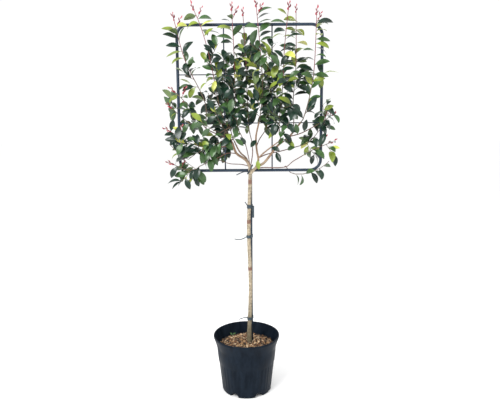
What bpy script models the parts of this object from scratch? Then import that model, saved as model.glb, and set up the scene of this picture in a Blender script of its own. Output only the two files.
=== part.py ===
"""A red robin photinia in a nursery pot, trained flat on a square steel frame.

Metres, with +Z up. The origin is the middle of the pot's flat underside, +X is to the right
of someone who faces the frame, and +Y points away from them.
"""

import math
import random
from collections import namedtuple

import bmesh
import bpy
from mathutils import Matrix, Vector, geometry, kdtree
from mathutils.bvhtree import BVHTree

# Room left between two solids that touch on the real plant
GAP = 0.0003

# Pot: a 15 litre nursery container
POT_HEIGHT = 0.267
POT_RIM_RADIUS = 0.155
POT_NECK_RADIUS = 0.1395
POT_NECK_HEIGHT = 0.212
POT_BASE_RADIUS = 0.1155
POT_WALL = 0.0024
POT_STATIONS = 60
FLUTES = 20
FLUTE_DEPTH = 0.0012
FLUTE_TOP = 0.142
NOTCHES = 6
NOTCH_HEIGHT = 0.014
NOTCH_INNER_RADIUS = 0.088
FLOOR_THICKNESS = 0.003

# Soil: the root ball's mounded top
SOIL_TOP = 0.228
SOIL_EDGE = 0.207
SOIL_FLAT_RADIUS = 0.034
SOIL_STATIONS = 30

# Frame: one square of round tube with two bars each way, and the leg that holds it
FRAME_X = 0.0245
FRAME_Y = 0.019
FRAME_SIDE = 0.637
FRAME_BOTTOM = 1.041
FRAME_TUBE_RADIUS = 0.0067
FRAME_CORNER_RADIUS = 0.048
BAR_PITCH = FRAME_SIDE / 3
BAR_SHIFT = -0.0075
UPRIGHT_RADIUS = 0.003
CROSSBAR_RADIUS = 0.0023
POST_RADIUS = 0.0075
POST_DEPTH_IN_SOIL = 0.11

# Trunk: a clear stem of about 0.8 m with a slight double bend
TRUNK_FOOT_X = 0.0163
TRUNK_LEAN = 0.003
TRUNK_SWAY = 0.0035
TRUNK_SWAY_LENGTH = 0.54
TRUNK_TOP = 1.068
TRUNK_RADIUS = 0.0092
TRUNK_TOP_RADIUS = 0.0079
ROOT_FLARE = 0.0038
ROOT_FLARE_HEIGHT = 0.035

# Ties
TIE_THICKNESS = 0.0016
CORD_RADIUS = 0.0026
TAIL_RADIUS = 0.0015

# Crown: how far leaves and shoots may reach
CROWN_LEFT = -0.380
CROWN_RIGHT = 0.421
CROWN_FRONT = -0.125
CROWN_BACK = 0.130
CROWN_TOP = 1.776
CROWN_FOOT = 0.965

# Growth rule
BOUGH_STEP = 0.035
LEADER_STEP = 0.060
STEM_RADIUS = 0.0032
SHOOT_TIP_RADIUS = 0.0018
SPUR_RADIUS = 0.0018
SPUR_TIP_RADIUS = 0.0012
SPUR_LENGTH = (0.055, 0.105)
LEAF_LENGTH = (0.058, 0.082)
LEAF_WIDTH = 0.60
LEAF_THICKNESS = 0.0016
LEAF_ROOT = 0.0005
SHOOT_LEAF_SPACING = 0.024
SPUR_LEAF_SPACING = 0.016
TWIG_FACES = (210, 330, 90)
FACE_SPREAD = 28
BARE_TIP = 0.055
DEPTH_STRETCH = 3.0
SPACE_MARGIN = 0.0015
TRIES = 9

Limb = namedtuple("Limb", "name grows_from start_radius tip_radius places")
Leader = namedtuple("Leader", "forks_at dense_to spurs tips places")
Mass = namedtuple("Mass", "name limb seed leaders")
Leaf = namedtuple("Leaf", "root heading face length arch")

# Boughs, each after the one that it grows from
LIMBS = [
    Limb("bough_left", "trunk", 0.0064, 0.0044,
         [(0.0235, 0, 1.052), (0.006, -0.002, 1.087), (-0.037, -0.006, 1.119),
          (-0.050, -0.008, 1.150), (-0.066, -0.010, 1.190)]),
    Limb("bough_right", "trunk", 0.0063, 0.0036,
         [(0.0235, -0.002, 1.026), (0.050, -0.004, 1.056), (0.086, -0.006, 1.077),
          (0.146, -0.010, 1.152), (0.199, -0.012, 1.194), (0.249, -0.014, 1.256)]),
    Limb("bough_centre", "bough_right", 0.0048, 0.0034,
         [(0.048, -0.004, 1.055), (0.060, -0.010, 1.088), (0.053, -0.014, 1.135),
          (0.050, -0.016, 1.192), (0.063, -0.018, 1.256)]),
    Limb("bough_left_inner", "trunk", 0.0036, 0.0028,
         [(0.021, 0.001, 1.062), (0.006, 0.006, 1.097), (-0.022, 0.008, 1.124),
          (-0.048, 0.036, 1.172)]),
    Limb("bough_left_side", "bough_left", 0.0029, 0.0023,
         [(-0.064, -0.010, 1.183), (-0.103, -0.014, 1.198), (-0.156, -0.018, 1.221)]),
    Limb("bough_left_end", "bough_left_side", 0.0021, 0.0018,
         [(-0.138, -0.017, 1.213), (-0.164, -0.028, 1.226), (-0.186, -0.030, 1.250)]),
    Limb("bough_left_middle", "bough_left", 0.0025, 0.0020,
         [(-0.049, -0.008, 1.147), (-0.090, -0.030, 1.151), (-0.134, -0.045, 1.146)]),
    Limb("bough_left_low", "bough_left", 0.0022, 0.0017,
         [(-0.037, -0.007, 1.119), (-0.078, -0.013, 1.121), (-0.114, -0.016, 1.104),
          (-0.189, -0.020, 1.070)]),
    Limb("bough_left_bottom", "trunk", 0.0020, 0.0016,
         [(0.021, 0.001, 1.060), (-0.014, 0.003, 1.069), (-0.068, 0.002, 1.073),
          (-0.112, -0.004, 1.088)]),
    Limb("bough_left_thin", "trunk", 0.0021, 0.0017,
         [(0.023, -0.001, 1.060), (0.015, -0.007, 1.108), (0.001, -0.012, 1.165),
          (-0.025, -0.020, 1.219)]),
    Limb("bough_centre_red", "trunk", 0.0023, 0.0018,
         [(0.0245, 0.001, 1.058), (0.034, 0.004, 1.113), (0.033, 0.010, 1.160),
          (0.023, 0.036, 1.207)]),
    Limb("bough_centre_back", "bough_centre", 0.0024, 0.0019,
         [(0.052, -0.014, 1.150), (0.064, 0.010, 1.178), (0.090, 0.038, 1.215)]),
    Limb("bough_right_inner", "bough_centre", 0.0035, 0.0026,
         [(0.059, -0.011, 1.096), (0.086, -0.018, 1.123), (0.146, -0.031, 1.169)]),
    Limb("bough_right_rising", "bough_right", 0.0025, 0.0021,
         [(0.210, -0.012, 1.207), (0.217, -0.005, 1.234), (0.219, 0.003, 1.264)]),
    Limb("bough_right_outer", "bough_right", 0.0027, 0.0021,
         [(0.199, -0.012, 1.193), (0.249, -0.016, 1.207), (0.306, -0.020, 1.236)]),
    Limb("bough_right_low", "bough_centre", 0.0024, 0.0019,
         [(0.060, -0.009, 1.098), (0.096, 0.008, 1.113), (0.165, 0.014, 1.128),
          (0.236, 0.030, 1.146)]),
    Limb("bough_right_bottom", "bough_right", 0.0024, 0.0019,
         [(0.044, -0.002, 1.050), (0.078, -0.002, 1.0545), (0.182, -0.002, 1.057),
          (0.215, -0.008, 1.082), (0.251, -0.014, 1.104)]),
    Limb("bough_right_under", "bough_right_bottom", 0.0018, 0.0015,
         [(0.178, -0.001, 1.057), (0.184, 0.017, 1.059), (0.194, 0.033, 1.046),
          (0.206, 0.024, 1.030), (0.217, 0.009, 1.027)]),
]

# Foliage: each mass grows on from one bough's tip, by leaders that reach the crown's outline
MASSES = [
    Mass("foliage_left_top", "bough_left_side", 11, [
        Leader(0.0, 0.45, 7, 1, [(-0.172, -0.014, 1.340), (-0.256, -0.012, 1.523),
                                 (-0.306, -0.010, 1.718)])]),
    Mass("foliage_left_side", "bough_left_end", 12, [
        Leader(0.0, 0.60, 4, 1, [(-0.250, -0.030, 1.337), (-0.320, -0.028, 1.406)]),
        Leader(0.05, 0.60, 4, 1, [(-0.230, 0.000, 1.246), (-0.290, 0.034, 1.288),
                                  (-0.349, 0.040, 1.340)])]),
    Mass("foliage_left_inner_top", "bough_left", 13, [
        Leader(0.0, 0.50, 10, 1, [(-0.112, -0.012, 1.338), (-0.147, -0.010, 1.524),
                                  (-0.186, -0.006, 1.667), (-0.225, -0.006, 1.759)]),
        Leader(0.03, 0.95, 4, 0, [(-0.084, -0.050, 1.222), (-0.094, -0.088, 1.150)])]),
    Mass("foliage_left_heart", "bough_left_inner", 14, [
        Leader(0.0, 0.85, 9, 0, [(-0.072, 0.046, 1.260), (-0.085, 0.050, 1.500)]),
        Leader(0.2, 0.80, 6, 0, [(-0.110, 0.055, 1.270), (-0.165, 0.060, 1.390)]),
        Leader(0.04, 0.95, 5, 0, [(-0.088, 0.062, 1.160), (-0.150, 0.066, 1.120)])]),
    Mass("foliage_centre_left", "bough_left_thin", 15, [
        Leader(0.0, 0.45, 8, 2, [(-0.040, -0.024, 1.355), (-0.042, -0.026, 1.521),
                                 (-0.052, -0.026, 1.754)]),
        Leader(0.03, 0.95, 5, 0, [(-0.070, -0.058, 1.232), (-0.128, -0.066, 1.200)])]),
    Mass("foliage_centre_back", "bough_centre_red", 16, [
        Leader(0.0, 0.45, 5, 0, [(0.012, 0.040, 1.373), (0.007, 0.042, 1.543),
                                 (-0.005, 0.040, 1.745)])]),
    Mass("foliage_centre_top", "bough_centre", 17, [
        Leader(0.0, 0.55, 12, 1, [(0.079, -0.020, 1.370), (0.076, -0.018, 1.500),
                                 (0.052, -0.010, 1.771)])]),
    Mass("foliage_heart_back", "bough_centre_back", 18, [
        Leader(0.0, 0.90, 8, 0, [(0.112, 0.050, 1.300), (0.128, 0.054, 1.470)])]),
    Mass("foliage_right_inner_top", "bough_right_inner", 19, [
        Leader(0.0, 0.55, 9, 0, [(0.151, -0.034, 1.239), (0.165, -0.036, 1.386),
                                 (0.174, -0.036, 1.571), (0.193, -0.030, 1.755)])]),
    Mass("foliage_right_back_top", "bough_right_rising", 20, [
        Leader(0.0, 0.45, 7, 0, [(0.218, 0.032, 1.349), (0.230, 0.038, 1.500),
                                 (0.229, 0.038, 1.758)])]),
    Mass("foliage_right_top", "bough_right", 21, [
        Leader(0.0, 0.35, 4, 1, [(0.283, -0.016, 1.354), (0.304, -0.014, 1.473),
                                 (0.314, -0.012, 1.737)])]),
    Mass("foliage_right_side", "bough_right_outer", 22, [
        Leader(0.0, 0.80, 4, 1, [(0.369, -0.020, 1.274), (0.398, -0.020, 1.296)])]),
    Mass("foliage_right_lower", "bough_right_low", 23, [
        Leader(0.0, 0.80, 5, 0, [(0.295, 0.036, 1.168), (0.362, 0.040, 1.251)])]),
    Mass("foliage_right_bottom", "bough_right_bottom", 24, [
        Leader(0.0, 0.80, 4, 1, [(0.298, -0.020, 1.132), (0.396, -0.030, 1.172)])]),
    Mass("foliage_right_under", "bough_right_under", 25, [
        Leader(0.0, 0.60, 0, 0, [(0.262, 0.000, 1.024), (0.338, -0.010, 1.051),
                                 (0.377, -0.012, 1.082)])]),
    Mass("foliage_left_bottom", "bough_left_bottom", 26, [
        Leader(0.0, 0.90, 9, 0, [(-0.150, -0.010, 1.106), (-0.222, -0.012, 1.140)])]),
    Mass("foliage_left_low", "bough_left_low", 27, [
        Leader(0.0, 0.70, 3, 1, [(-0.217, -0.022, 1.052), (-0.262, -0.024, 1.049),
                                 (-0.340, -0.028, 1.085)])]),
    Mass("foliage_left_middle", "bough_left_middle", 28, [
        Leader(0.0, 0.70, 8, 1, [(-0.196, -0.040, 1.153), (-0.242, -0.036, 1.169),
                                 (-0.348, -0.028, 1.232)]),
        Leader(0.3, 0.70, 3, 0, [(-0.247, -0.055, 1.098), (-0.328, -0.055, 1.164)])]),
]

# Open places in the crown, as ellipses in the frame's plane: x, z, half width, half height
SKY = [
    (0.020, 1.150, 0.014, 0.060),
    (0.106, 1.083, 0.055, 0.020),
    (-0.035, 1.080, 0.050, 0.014),
    (0.255, 1.345, 0.020, 0.030),
    (-0.215, 1.455, 0.022, 0.030),
    (-0.205, 1.575, 0.016, 0.040),
    (-0.350, 1.120, 0.030, 0.045),
    (-0.230, 1.090, 0.030, 0.016),
]


def material(name, colour, roughness, metallic=0.0):
    """A plain Principled surface."""
    made = bpy.data.materials.new(name)
    made.use_nodes = True
    shader = made.node_tree.nodes["Principled BSDF"]
    shader.inputs["Base Color"].default_value = (*colour, 1.0)
    shader.inputs["Roughness"].default_value = roughness
    shader.inputs["Metallic"].default_value = metallic
    return made


def add_object(name, mesh, surface, origin=(0, 0, 0)):
    """Turn a bmesh in world coordinates into an object that stands at its own origin."""
    origin = Vector(origin)
    bmesh.ops.recalc_face_normals(mesh, faces=mesh.faces)
    bmesh.ops.translate(mesh, verts=mesh.verts, vec=-origin)
    data = bpy.data.meshes.new(name)
    mesh.to_mesh(data)
    mesh.free()
    if surface is not None:
        data.materials.append(surface)
    made = bpy.data.objects.new(name, data)
    made.location = origin
    bpy.context.scene.collection.objects.link(made)
    return made


def smooth_route(places, step=BOUGH_STEP):
    """Points along a smooth curve through the given places."""
    knots = [Vector(place) for place in places]
    knots = [2 * knots[0] - knots[1]] + knots + [2 * knots[-1] - knots[-2]]
    route = [knots[1]]
    for before, start, end, after in zip(knots, knots[1:], knots[2:], knots[3:]):
        reach = (end - start).length / 3
        leave = start + (end - before).normalized() * reach
        arrive = end - (after - start).normalized() * reach
        count = max(2, round(3 * reach / step) + 1)
        route += geometry.interpolate_bezier(start, leave, arrive, end, count)[1:]
    return route


def frames_along(route):
    """A frame for each point of a route: Z along the route, Y near the world's, no twist."""
    frames = []
    heading = (route[1] - route[0]).normalized()
    side = Vector((0, 1, 0)).cross(heading)
    if side.length < 0.2:
        side = heading.orthogonal()
    side.normalize()
    turn = Matrix((side, heading.cross(side), heading)).transposed().to_quaternion()
    for index, point in enumerate(route):
        before = route[max(index - 1, 0)]
        after = route[min(index + 1, len(route) - 1)]
        new_heading = (after - before).normalized()
        turn = heading.rotation_difference(new_heading) @ turn
        heading = new_heading
        frames.append(Matrix.Translation(point) @ turn.to_matrix().to_4x4())
    return frames


def sweep(mesh, route, radii, sides):
    """Carry a round section along a route and close both ends."""
    sections = [frame @ Matrix.Diagonal((-radius, -radius, 1.0, 1.0))
                for frame, radius in zip(frames_along(route), radii)]
    made = bmesh.ops.create_circle(mesh, cap_ends=True, segments=sides, radius=1.0,
                                   matrix=sections[0])
    first_edges = list({edge for vert in made["verts"] for edge in vert.link_edges})
    end = made["verts"][0].link_faces[0]
    for here, there in zip(sections, sections[1:]):
        end = bmesh.ops.extrude_discrete_faces(mesh, faces=[end])["faces"][0]
        carry = there @ here.inverted()
        bmesh.ops.transform(mesh, matrix=carry, verts=end.verts)
    bmesh.ops.contextual_create(mesh, geom=first_edges)


def tapered(route, start_radius, tip_radius):
    """Radii that fall evenly along a route."""
    last = len(route) - 1
    return [start_radius + (tip_radius - start_radius) * index / last
            for index in range(last + 1)]


def ring_sweep(mesh, path, section):
    """Carry a closed section, in metres, round a closed path. The path lists frames."""
    rings = []
    for frame in path:
        rings.append([mesh.verts.new(frame @ Vector(corner)) for corner in section])
    for ring, following in zip(rings, rings[1:] + rings[:1]):
        for a, b, c, d in zip(ring, ring[1:] + ring[:1],
                              following[1:] + following[:1], following):
            mesh.faces.new((a, b, c, d))


def joined(name, base, others, surface, operation="UNION"):
    """One Boolean on a collection, applied, with the pieces that went into it removed."""
    pieces = bpy.data.collections.new(name + "_pieces")
    bpy.context.scene.collection.children.link(pieces)
    for piece in others:
        bpy.context.scene.collection.objects.unlink(piece)
        pieces.objects.link(piece)
    boolean = base.modifiers.new("join", "BOOLEAN")
    boolean.operation = operation
    boolean.operand_type = "COLLECTION"
    boolean.collection = pieces
    boolean.solver = "MANIFOLD" if operation == "UNION" else "EXACT"
    bpy.context.view_layer.update()
    graph = bpy.context.evaluated_depsgraph_get()
    result = bpy.data.meshes.new_from_object(base.evaluated_get(graph))
    location = base.location.copy()
    for piece in [base] + list(others):
        bpy.data.objects.remove(piece, do_unlink=True)
    bpy.data.collections.remove(pieces)
    result.name = name
    result.materials.clear()
    result.materials.append(surface)
    made = bpy.data.objects.new(name, result)
    made.location = location
    bpy.context.scene.collection.objects.link(made)
    keep_largest_body(result)
    return made


def keep_largest_body(data):
    """Drop loose scraps and the walls of sealed hollows."""
    mesh = bmesh.new()
    mesh.from_mesh(data)
    waiting = set(mesh.verts)
    bodies = []
    while waiting:
        body = set()
        edge_of_body = [waiting.pop()]
        while edge_of_body:
            vert = edge_of_body.pop()
            body.add(vert)
            for edge in vert.link_edges:
                other = edge.other_vert(vert)
                if other in waiting:
                    waiting.remove(other)
                    edge_of_body.append(other)
        bodies.append(body)
    bodies.sort(key=len)
    for scrap in bodies[:-1]:
        bmesh.ops.delete(mesh, geom=list(scrap), context="VERTS")
    mesh.to_mesh(data)
    mesh.free()


def turned(profile, stations):
    """Spin a profile of (radius, height) points about the Z axis."""
    mesh = bmesh.new()
    verts = [mesh.verts.new((radius, 0.0, height)) for radius, height in profile]
    edges = [mesh.edges.new(pair) for pair in zip(verts, verts[1:])]
    bmesh.ops.spin(mesh, geom=verts + edges, cent=(0, 0, 0), axis=(0, 0, 1),
                   angle=math.tau, steps=stations, use_merge=True)
    bmesh.ops.remove_doubles(mesh, verts=mesh.verts, dist=1e-6)
    return mesh


def ramp(value, start, end):
    """Rise evenly from 0 at start to 1 at end."""
    return min(1.0, max(0.0, (value - start) / (end - start)))


def pot_outer_radius(height):
    """The body's radius below the neck, which widens evenly from the base."""
    share = height / POT_NECK_HEIGHT
    return POT_BASE_RADIUS + (POT_NECK_RADIUS - POT_BASE_RADIUS) * share


def pot_inner_radius(height):
    """The inside of the body, clear of the flutes."""
    return pot_outer_radius(height) - FLUTE_DEPTH - POT_WALL


def notch_rise(angle):
    """How far the underside is raised at an angle: six notches, one between each two feet."""
    place = (angle * NOTCHES / math.tau + 0.5 * NOTCHES) % 1.0
    from_notch = abs(place - 0.5) * 360 / NOTCHES
    return NOTCH_HEIGHT * (1.0 - ramp(from_notch, 6.0, 12.0))


def make_pot(plastic):
    """The nursery pot, with a flared rim, fluted sides, and notches that leave six feet."""
    lip = 0.0045
    outer = [
        (0.0, 0.0), (NOTCH_INNER_RADIUS - 0.004, 0.0), (NOTCH_INNER_RADIUS, 0.0),
        (POT_BASE_RADIUS - 0.004, 0.0), (pot_outer_radius(0.005), 0.005),
        (pot_outer_radius(0.024), 0.024), (pot_outer_radius(0.036), 0.036),
        (pot_outer_radius(FLUTE_TOP - 0.012), FLUTE_TOP - 0.012),
        (pot_outer_radius(FLUTE_TOP), FLUTE_TOP), (POT_NECK_RADIUS, POT_NECK_HEIGHT),
        (0.1485, 0.240), (0.1535, 0.2545), (POT_RIM_RADIUS, 0.2615),
        (POT_RIM_RADIUS - 0.0015, POT_HEIGHT - 0.001),
    ]
    inner = [
        (POT_RIM_RADIUS - lip, POT_HEIGHT), (POT_RIM_RADIUS - lip - 0.0015, 0.2600),
        (0.1485 - 2 * POT_WALL, 0.240), (POT_NECK_RADIUS - POT_WALL - FLUTE_DEPTH,
                                         POT_NECK_HEIGHT - 0.004),
        (pot_inner_radius(FLUTE_TOP), FLUTE_TOP), (pot_inner_radius(0.024), 0.024),
        (pot_inner_radius(0.006), FLOOR_THICKNESS), (NOTCH_INNER_RADIUS, FLOOR_THICKNESS),
        (NOTCH_INNER_RADIUS - 0.004, FLOOR_THICKNESS), (0.0, FLOOR_THICKNESS),
    ]
    mesh = turned(outer + inner, POT_STATIONS)
    for vert in mesh.verts:
        radius = vert.co.xy.length
        height = vert.co.z
        angle = math.atan2(vert.co.x, -vert.co.y)
        on_wall = radius > pot_outer_radius(height) - POT_WALL / 2
        if on_wall and 0.03 < height < FLUTE_TOP - 0.006:
            depth = FLUTE_DEPTH * (1 - math.cos(angle * FLUTES)) / 1.5
            vert.co.xy *= (radius - depth) / radius
        share = ramp(radius, NOTCH_INNER_RADIUS - 0.003, NOTCH_INNER_RADIUS - 0.001)
        share *= 1.0 - ramp(height, 0.0055, 0.022)
        vert.co.z += notch_rise(angle) * share
    add_object("pot", mesh, plastic)


def make_soil(bark_mulch):
    """The root ball, with an uneven mounded top and a hole that the post stands in."""
    chance = random.Random(3)
    step_height = NOTCH_HEIGHT + FLOOR_THICKNESS + 0.002
    profile = [
        (0.0, FLOOR_THICKNESS + GAP), (NOTCH_INNER_RADIUS - 0.005, FLOOR_THICKNESS + GAP),
        (NOTCH_INNER_RADIUS - 0.005, step_height + 0.006),
        (pot_inner_radius(0.030) - GAP, step_height + 0.010),
        (pot_inner_radius(FLUTE_TOP) - GAP, FLUTE_TOP),
        (pot_inner_radius(SOIL_EDGE) - 0.0012, SOIL_EDGE),
        (0.108, SOIL_EDGE + 0.007), (0.080, SOIL_TOP - 0.006), (0.055, SOIL_TOP - 0.001),
        (SOIL_FLAT_RADIUS, SOIL_TOP), (0.0, SOIL_TOP),
    ]
    mesh = turned(profile, SOIL_STATIONS)
    for vert in sorted(mesh.verts, key=lambda each: (each.co.x, each.co.y, each.co.z)):
        if vert.co.z > SOIL_EDGE - 0.001 and vert.co.xy.length > SOIL_FLAT_RADIUS + 0.003:
            vert.co.z += chance.uniform(-0.003, 0.003)
    soil = add_object("soil_whole", mesh, bark_mulch)
    hole = bmesh.new()
    bottom = Vector((FRAME_X, FRAME_Y, SOIL_TOP - POST_DEPTH_IN_SOIL - GAP))
    sweep(hole, [bottom, bottom + Vector((0, 0, 0.2))], [POST_RADIUS + GAP] * 2, 12)
    cutter = add_object("post_hole", hole, None)
    joined("soil", soil, [cutter], bark_mulch, operation="DIFFERENCE")


def trunk_axis(height):
    """The middle of the trunk at a height: a slight lean and a double bend."""
    share = (height - SOIL_TOP) / (TRUNK_TOP - SOIL_TOP)
    bend = math.cos(math.tau * (height - SOIL_TOP) / TRUNK_SWAY_LENGTH)
    return Vector((TRUNK_FOOT_X + TRUNK_LEAN * share - TRUNK_SWAY * bend, 0.0, height))


def trunk_radius(height):
    """An even taper, the root flare at the foot and a rounded top."""
    share = (height - SOIL_TOP) / (TRUNK_TOP - SOIL_TOP)
    even = TRUNK_RADIUS + (TRUNK_TOP_RADIUS - TRUNK_RADIUS) * share
    flare = ROOT_FLARE * math.exp(-(height - SOIL_TOP) / ROOT_FLARE_HEIGHT)
    rounding = 1.0 - 0.45 * ramp(height, TRUNK_TOP - 0.008, TRUNK_TOP) ** 2
    return (even + flare) * rounding


def trunk_heights():
    """Heights of the trunk's sections, closer together at the flare and at the top."""
    foot = SOIL_TOP + GAP
    heights = [foot, foot + 0.012, foot + 0.03, foot + 0.06]
    while heights[-1] < TRUNK_TOP - 0.07:
        heights.append(heights[-1] + 0.06)
    return heights + [TRUNK_TOP - 0.008, TRUNK_TOP - 0.003, TRUNK_TOP]


def add_trunk(mesh, grow=0.0):
    """The trunk's surface, or the same grown outwards."""
    heights = trunk_heights()
    route = [trunk_axis(height) for height in heights]
    sweep(mesh, route, [trunk_radius(height) + grow for height in heights], 10)


def add_limb(mesh, limb, grow=0.0):
    """A bough's surface, or the same grown outwards."""
    route = smooth_route(limb.places)
    radii = tapered(route, limb.start_radius + grow, limb.tip_radius + grow)
    sweep(mesh, route, radii, 8 if limb.start_radius > 0.003 else 6)


def tree_of(mesh):
    """A search tree of a bmesh's faces, which is then freed."""
    found = BVHTree.FromBMesh(mesh)
    mesh.free()
    return found


def make_limbs(bark, young_bark):
    """The trunk and each bough, cut clear of the limbs made before it."""
    trunk = bmesh.new()
    add_trunk(trunk)
    add_object("trunk", trunk, bark, origin=(0, 0, SOIL_TOP))
    made = [None]
    for limb in LIMBS:
        shape = bmesh.new()
        add_limb(shape, limb)
        shape_tree = BVHTree.FromBMesh(shape)
        cutters = []
        for earlier in made:
            grown = bmesh.new()
            if earlier is None:
                add_trunk(grown, grow=GAP * 1.15)
            else:
                add_limb(grown, earlier, grow=GAP * 1.15)
            if BVHTree.FromBMesh(grown).overlap(shape_tree):
                cutters.append(add_object("cutter", grown, None))
            else:
                grown.free()
        surface = bark if limb.start_radius > 0.003 else young_bark
        whole = add_object(limb.name + "_whole", shape, surface, origin=limb.places[0])
        joined(limb.name, whole, cutters, surface, operation="DIFFERENCE")
        made.append(limb)


def corner_arc(centre_x, centre_z, start, shares):
    """Points round half of one of the frame's corners, from a start angle in degrees."""
    for share in shares:
        angle = math.radians(start - 45 * share)
        yield Vector((centre_x + FRAME_CORNER_RADIUS * math.cos(angle), FRAME_Y,
                      centre_z + FRAME_CORNER_RADIUS * math.sin(angle)))


def frame_side_route(turn):
    """One side of the square with half of the bend at each end, turned by quarter turns."""
    half = FRAME_SIDE / 2
    inset = half - FRAME_CORNER_RADIUS
    centre = Vector((FRAME_X, 0, FRAME_BOTTOM + half))
    top = list(corner_arc(-inset, inset, 135, (0.014, 0.03, 0.25, 0.5, 0.75, 1.0)))
    top += list(corner_arc(inset, inset, 90, (0.0, 0.25, 0.5, 0.75, 0.97, 0.986)))
    spin = Matrix.Rotation(math.radians(90 * turn), 4, "Y")
    return [spin @ point + centre for point in top]


def bar_ends(short):
    """The name, both ends and the radius of each thin bar, short of the tubes' middles."""
    half = FRAME_SIDE / 2
    middle = FRAME_BOTTOM + half
    reach = half - short
    offset = (UPRIGHT_RADIUS + CROSSBAR_RADIUS + GAP) / 2
    for name, side in (("left", -1), ("right", 1)):
        x = FRAME_X + BAR_SHIFT + side * BAR_PITCH / 2
        y = FRAME_Y + offset
        yield ("upright_" + name, [Vector((x, y, middle - reach)), Vector((x, y, middle + reach))],
               UPRIGHT_RADIUS)
    for name, side in (("lower", -1), ("upper", 1)):
        y = FRAME_Y - offset
        z = middle + side * BAR_PITCH / 2
        yield ("crossbar_" + name,
               [Vector((FRAME_X - reach, y, z)), Vector((FRAME_X + reach, y, z))],
               CROSSBAR_RADIUS)


def make_frame(steel):
    """The square tube frame, its bars and its leg."""
    for turn, side in enumerate(("top", "right", "bottom", "left")):
        tube = bmesh.new()
        route = frame_side_route(turn)
        sweep(tube, route, [FRAME_TUBE_RADIUS] * len(route), 8)
        add_object("frame_" + side, tube, steel, origin=(route[0] + route[-1]) / 2)
    for name, ends, radius in bar_ends(FRAME_TUBE_RADIUS + GAP):
        bar = bmesh.new()
        sweep(bar, ends, [radius] * 2, 8)
        add_object("frame_" + name, bar, steel, origin=(ends[0] + ends[1]) / 2)
    foot = Vector((FRAME_X, FRAME_Y, SOIL_TOP - POST_DEPTH_IN_SOIL))
    head = Vector((FRAME_X, FRAME_Y, FRAME_BOTTOM - FRAME_TUBE_RADIUS - GAP))
    post = bmesh.new()
    sweep(post, [foot, head], [POST_RADIUS] * 2, 12)
    add_object("frame_post", post, steel, origin=foot)


def belt_path(height, clearance):
    """Frames round the trunk and the post together at a height, like a belt on two wheels."""
    first = trunk_axis(height)
    second = Vector((FRAME_X, FRAME_Y, height))
    first_radius = trunk_radius(height) + clearance
    second_radius = POST_RADIUS + clearance
    apart = second - first
    facing = math.atan2(apart.y, apart.x)
    lean = math.acos((first_radius - second_radius) / apart.length)
    path = []
    for centre, radius, start, sweep_angle in (
            (second, second_radius, facing - lean, 2 * lean),
            (first, first_radius, facing + lean, math.tau - 2 * lean)):
        steps = 9
        for index in range(steps + 1):
            angle = start + sweep_angle * index / steps
            out = Vector((math.cos(angle), math.sin(angle), 0))
            frame = Matrix.Rotation(angle, 4, "Z")
            frame.translation = centre + out * radius
            path.append(frame)
    return path


def add_cord(mesh, places, radius=TAIL_RADIUS):
    """A free end of cord through some places."""
    route = smooth_route(places, step=0.012)
    sweep(mesh, route, tapered(route, radius, radius * 0.9), 6)


def make_belt(name, height, width, rubber, extras):
    """A strap round trunk and post, with the ends that stand off it fused on."""
    strap = bmesh.new()
    clearance = GAP * 3 + TIE_THICKNESS / 2
    half_t, half_w = TIE_THICKNESS / 2, width / 2
    section = [(-half_t, 0, -half_w), (half_t, 0, -half_w), (half_t, 0, half_w),
               (-half_t, 0, half_w)]
    ring_sweep(strap, belt_path(height, clearance), section)
    band = add_object(name + "_band", strap, rubber, origin=(FRAME_X, FRAME_Y / 2, height))
    ends = []
    for extra in extras:
        shape = bmesh.new()
        extra(shape)
        ends.append(add_object(name + "_end", shape, rubber))
    joined(name, band, ends, rubber)


def make_ties(rubber):
    """Two straps and a belt on the stem, and the cord that lashes the fork to the frame."""
    def strap_end(mesh):
        bmesh.ops.create_cube(mesh, size=1.0, matrix=Matrix.Translation(
            (0.0345, 0.0055, 0.852)) @ Matrix.Diagonal((0.011, 0.0018, 0.056, 1)))

    def upper_nub(mesh):
        add_cord(mesh, [(0.0075, -0.001, 0.884), (0.003, -0.004, 0.892), (-0.002, -0.005, 0.899)])

    def middle_tail(mesh):
        add_cord(mesh, [(0.0047, -0.001, 0.737), (-0.008, -0.005, 0.730), (-0.028, -0.006, 0.724),
                        (-0.052, -0.004, 0.727)])

    def low_tail(mesh):
        add_cord(mesh, [(0.0048, -0.001, 0.346), (-0.010, -0.006, 0.348), (-0.035, -0.010, 0.335)])

    make_belt("tie_upper", 0.877, 0.016, rubber, [strap_end, upper_nub])
    make_belt("tie_middle", 0.737, 0.014, rubber, [middle_tail])
    make_belt("tie_lower", 0.343, 0.013, rubber, [low_tail])
    make_fork_tie(rubber)


def make_fork_tie(rubber):
    """A cord slung over the frame's bottom tube on the right and under it on the left."""
    middle = trunk_axis(1.046)
    ring = trunk_radius(1.046) + CORD_RADIUS + 0.0005
    slope = 1.75
    back = FRAME_Y + FRAME_TUBE_RADIUS + CORD_RADIUS + 0.0007 - ring
    path = []
    steps = 20
    for index in range(steps):
        angle = math.tau * index / steps
        x = ring * math.cos(angle)
        y = ring * math.sin(angle) + (back if math.sin(angle) > 0 else 0.0)
        path.append(Vector((middle.x + x, y, middle.z + slope * x)))
    mesh = bmesh.new()
    frames = []
    for before, here, after in zip(path[-1:] + path[:-1], path, path[1:] + path[:1]):
        turn = (after - before).to_track_quat("Z", "Y").to_matrix().to_4x4()
        turn.translation = here
        frames.append(turn)
    section = [(CORD_RADIUS * math.cos(math.tau * side / 6),
                CORD_RADIUS * math.sin(math.tau * side / 6), 0) for side in range(6)]
    ring_sweep(mesh, frames, section)
    loop = add_object("tie_fork_loop", mesh, rubber, origin=middle)
    tail = bmesh.new()
    add_cord(tail, [path[7], (-0.008, 0.030, 1.0325), (-0.040, 0.022, 1.0195)])
    joined("tie_fork", loop, [add_object("tie_fork_tail", tail, rubber)], rubber)


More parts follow.
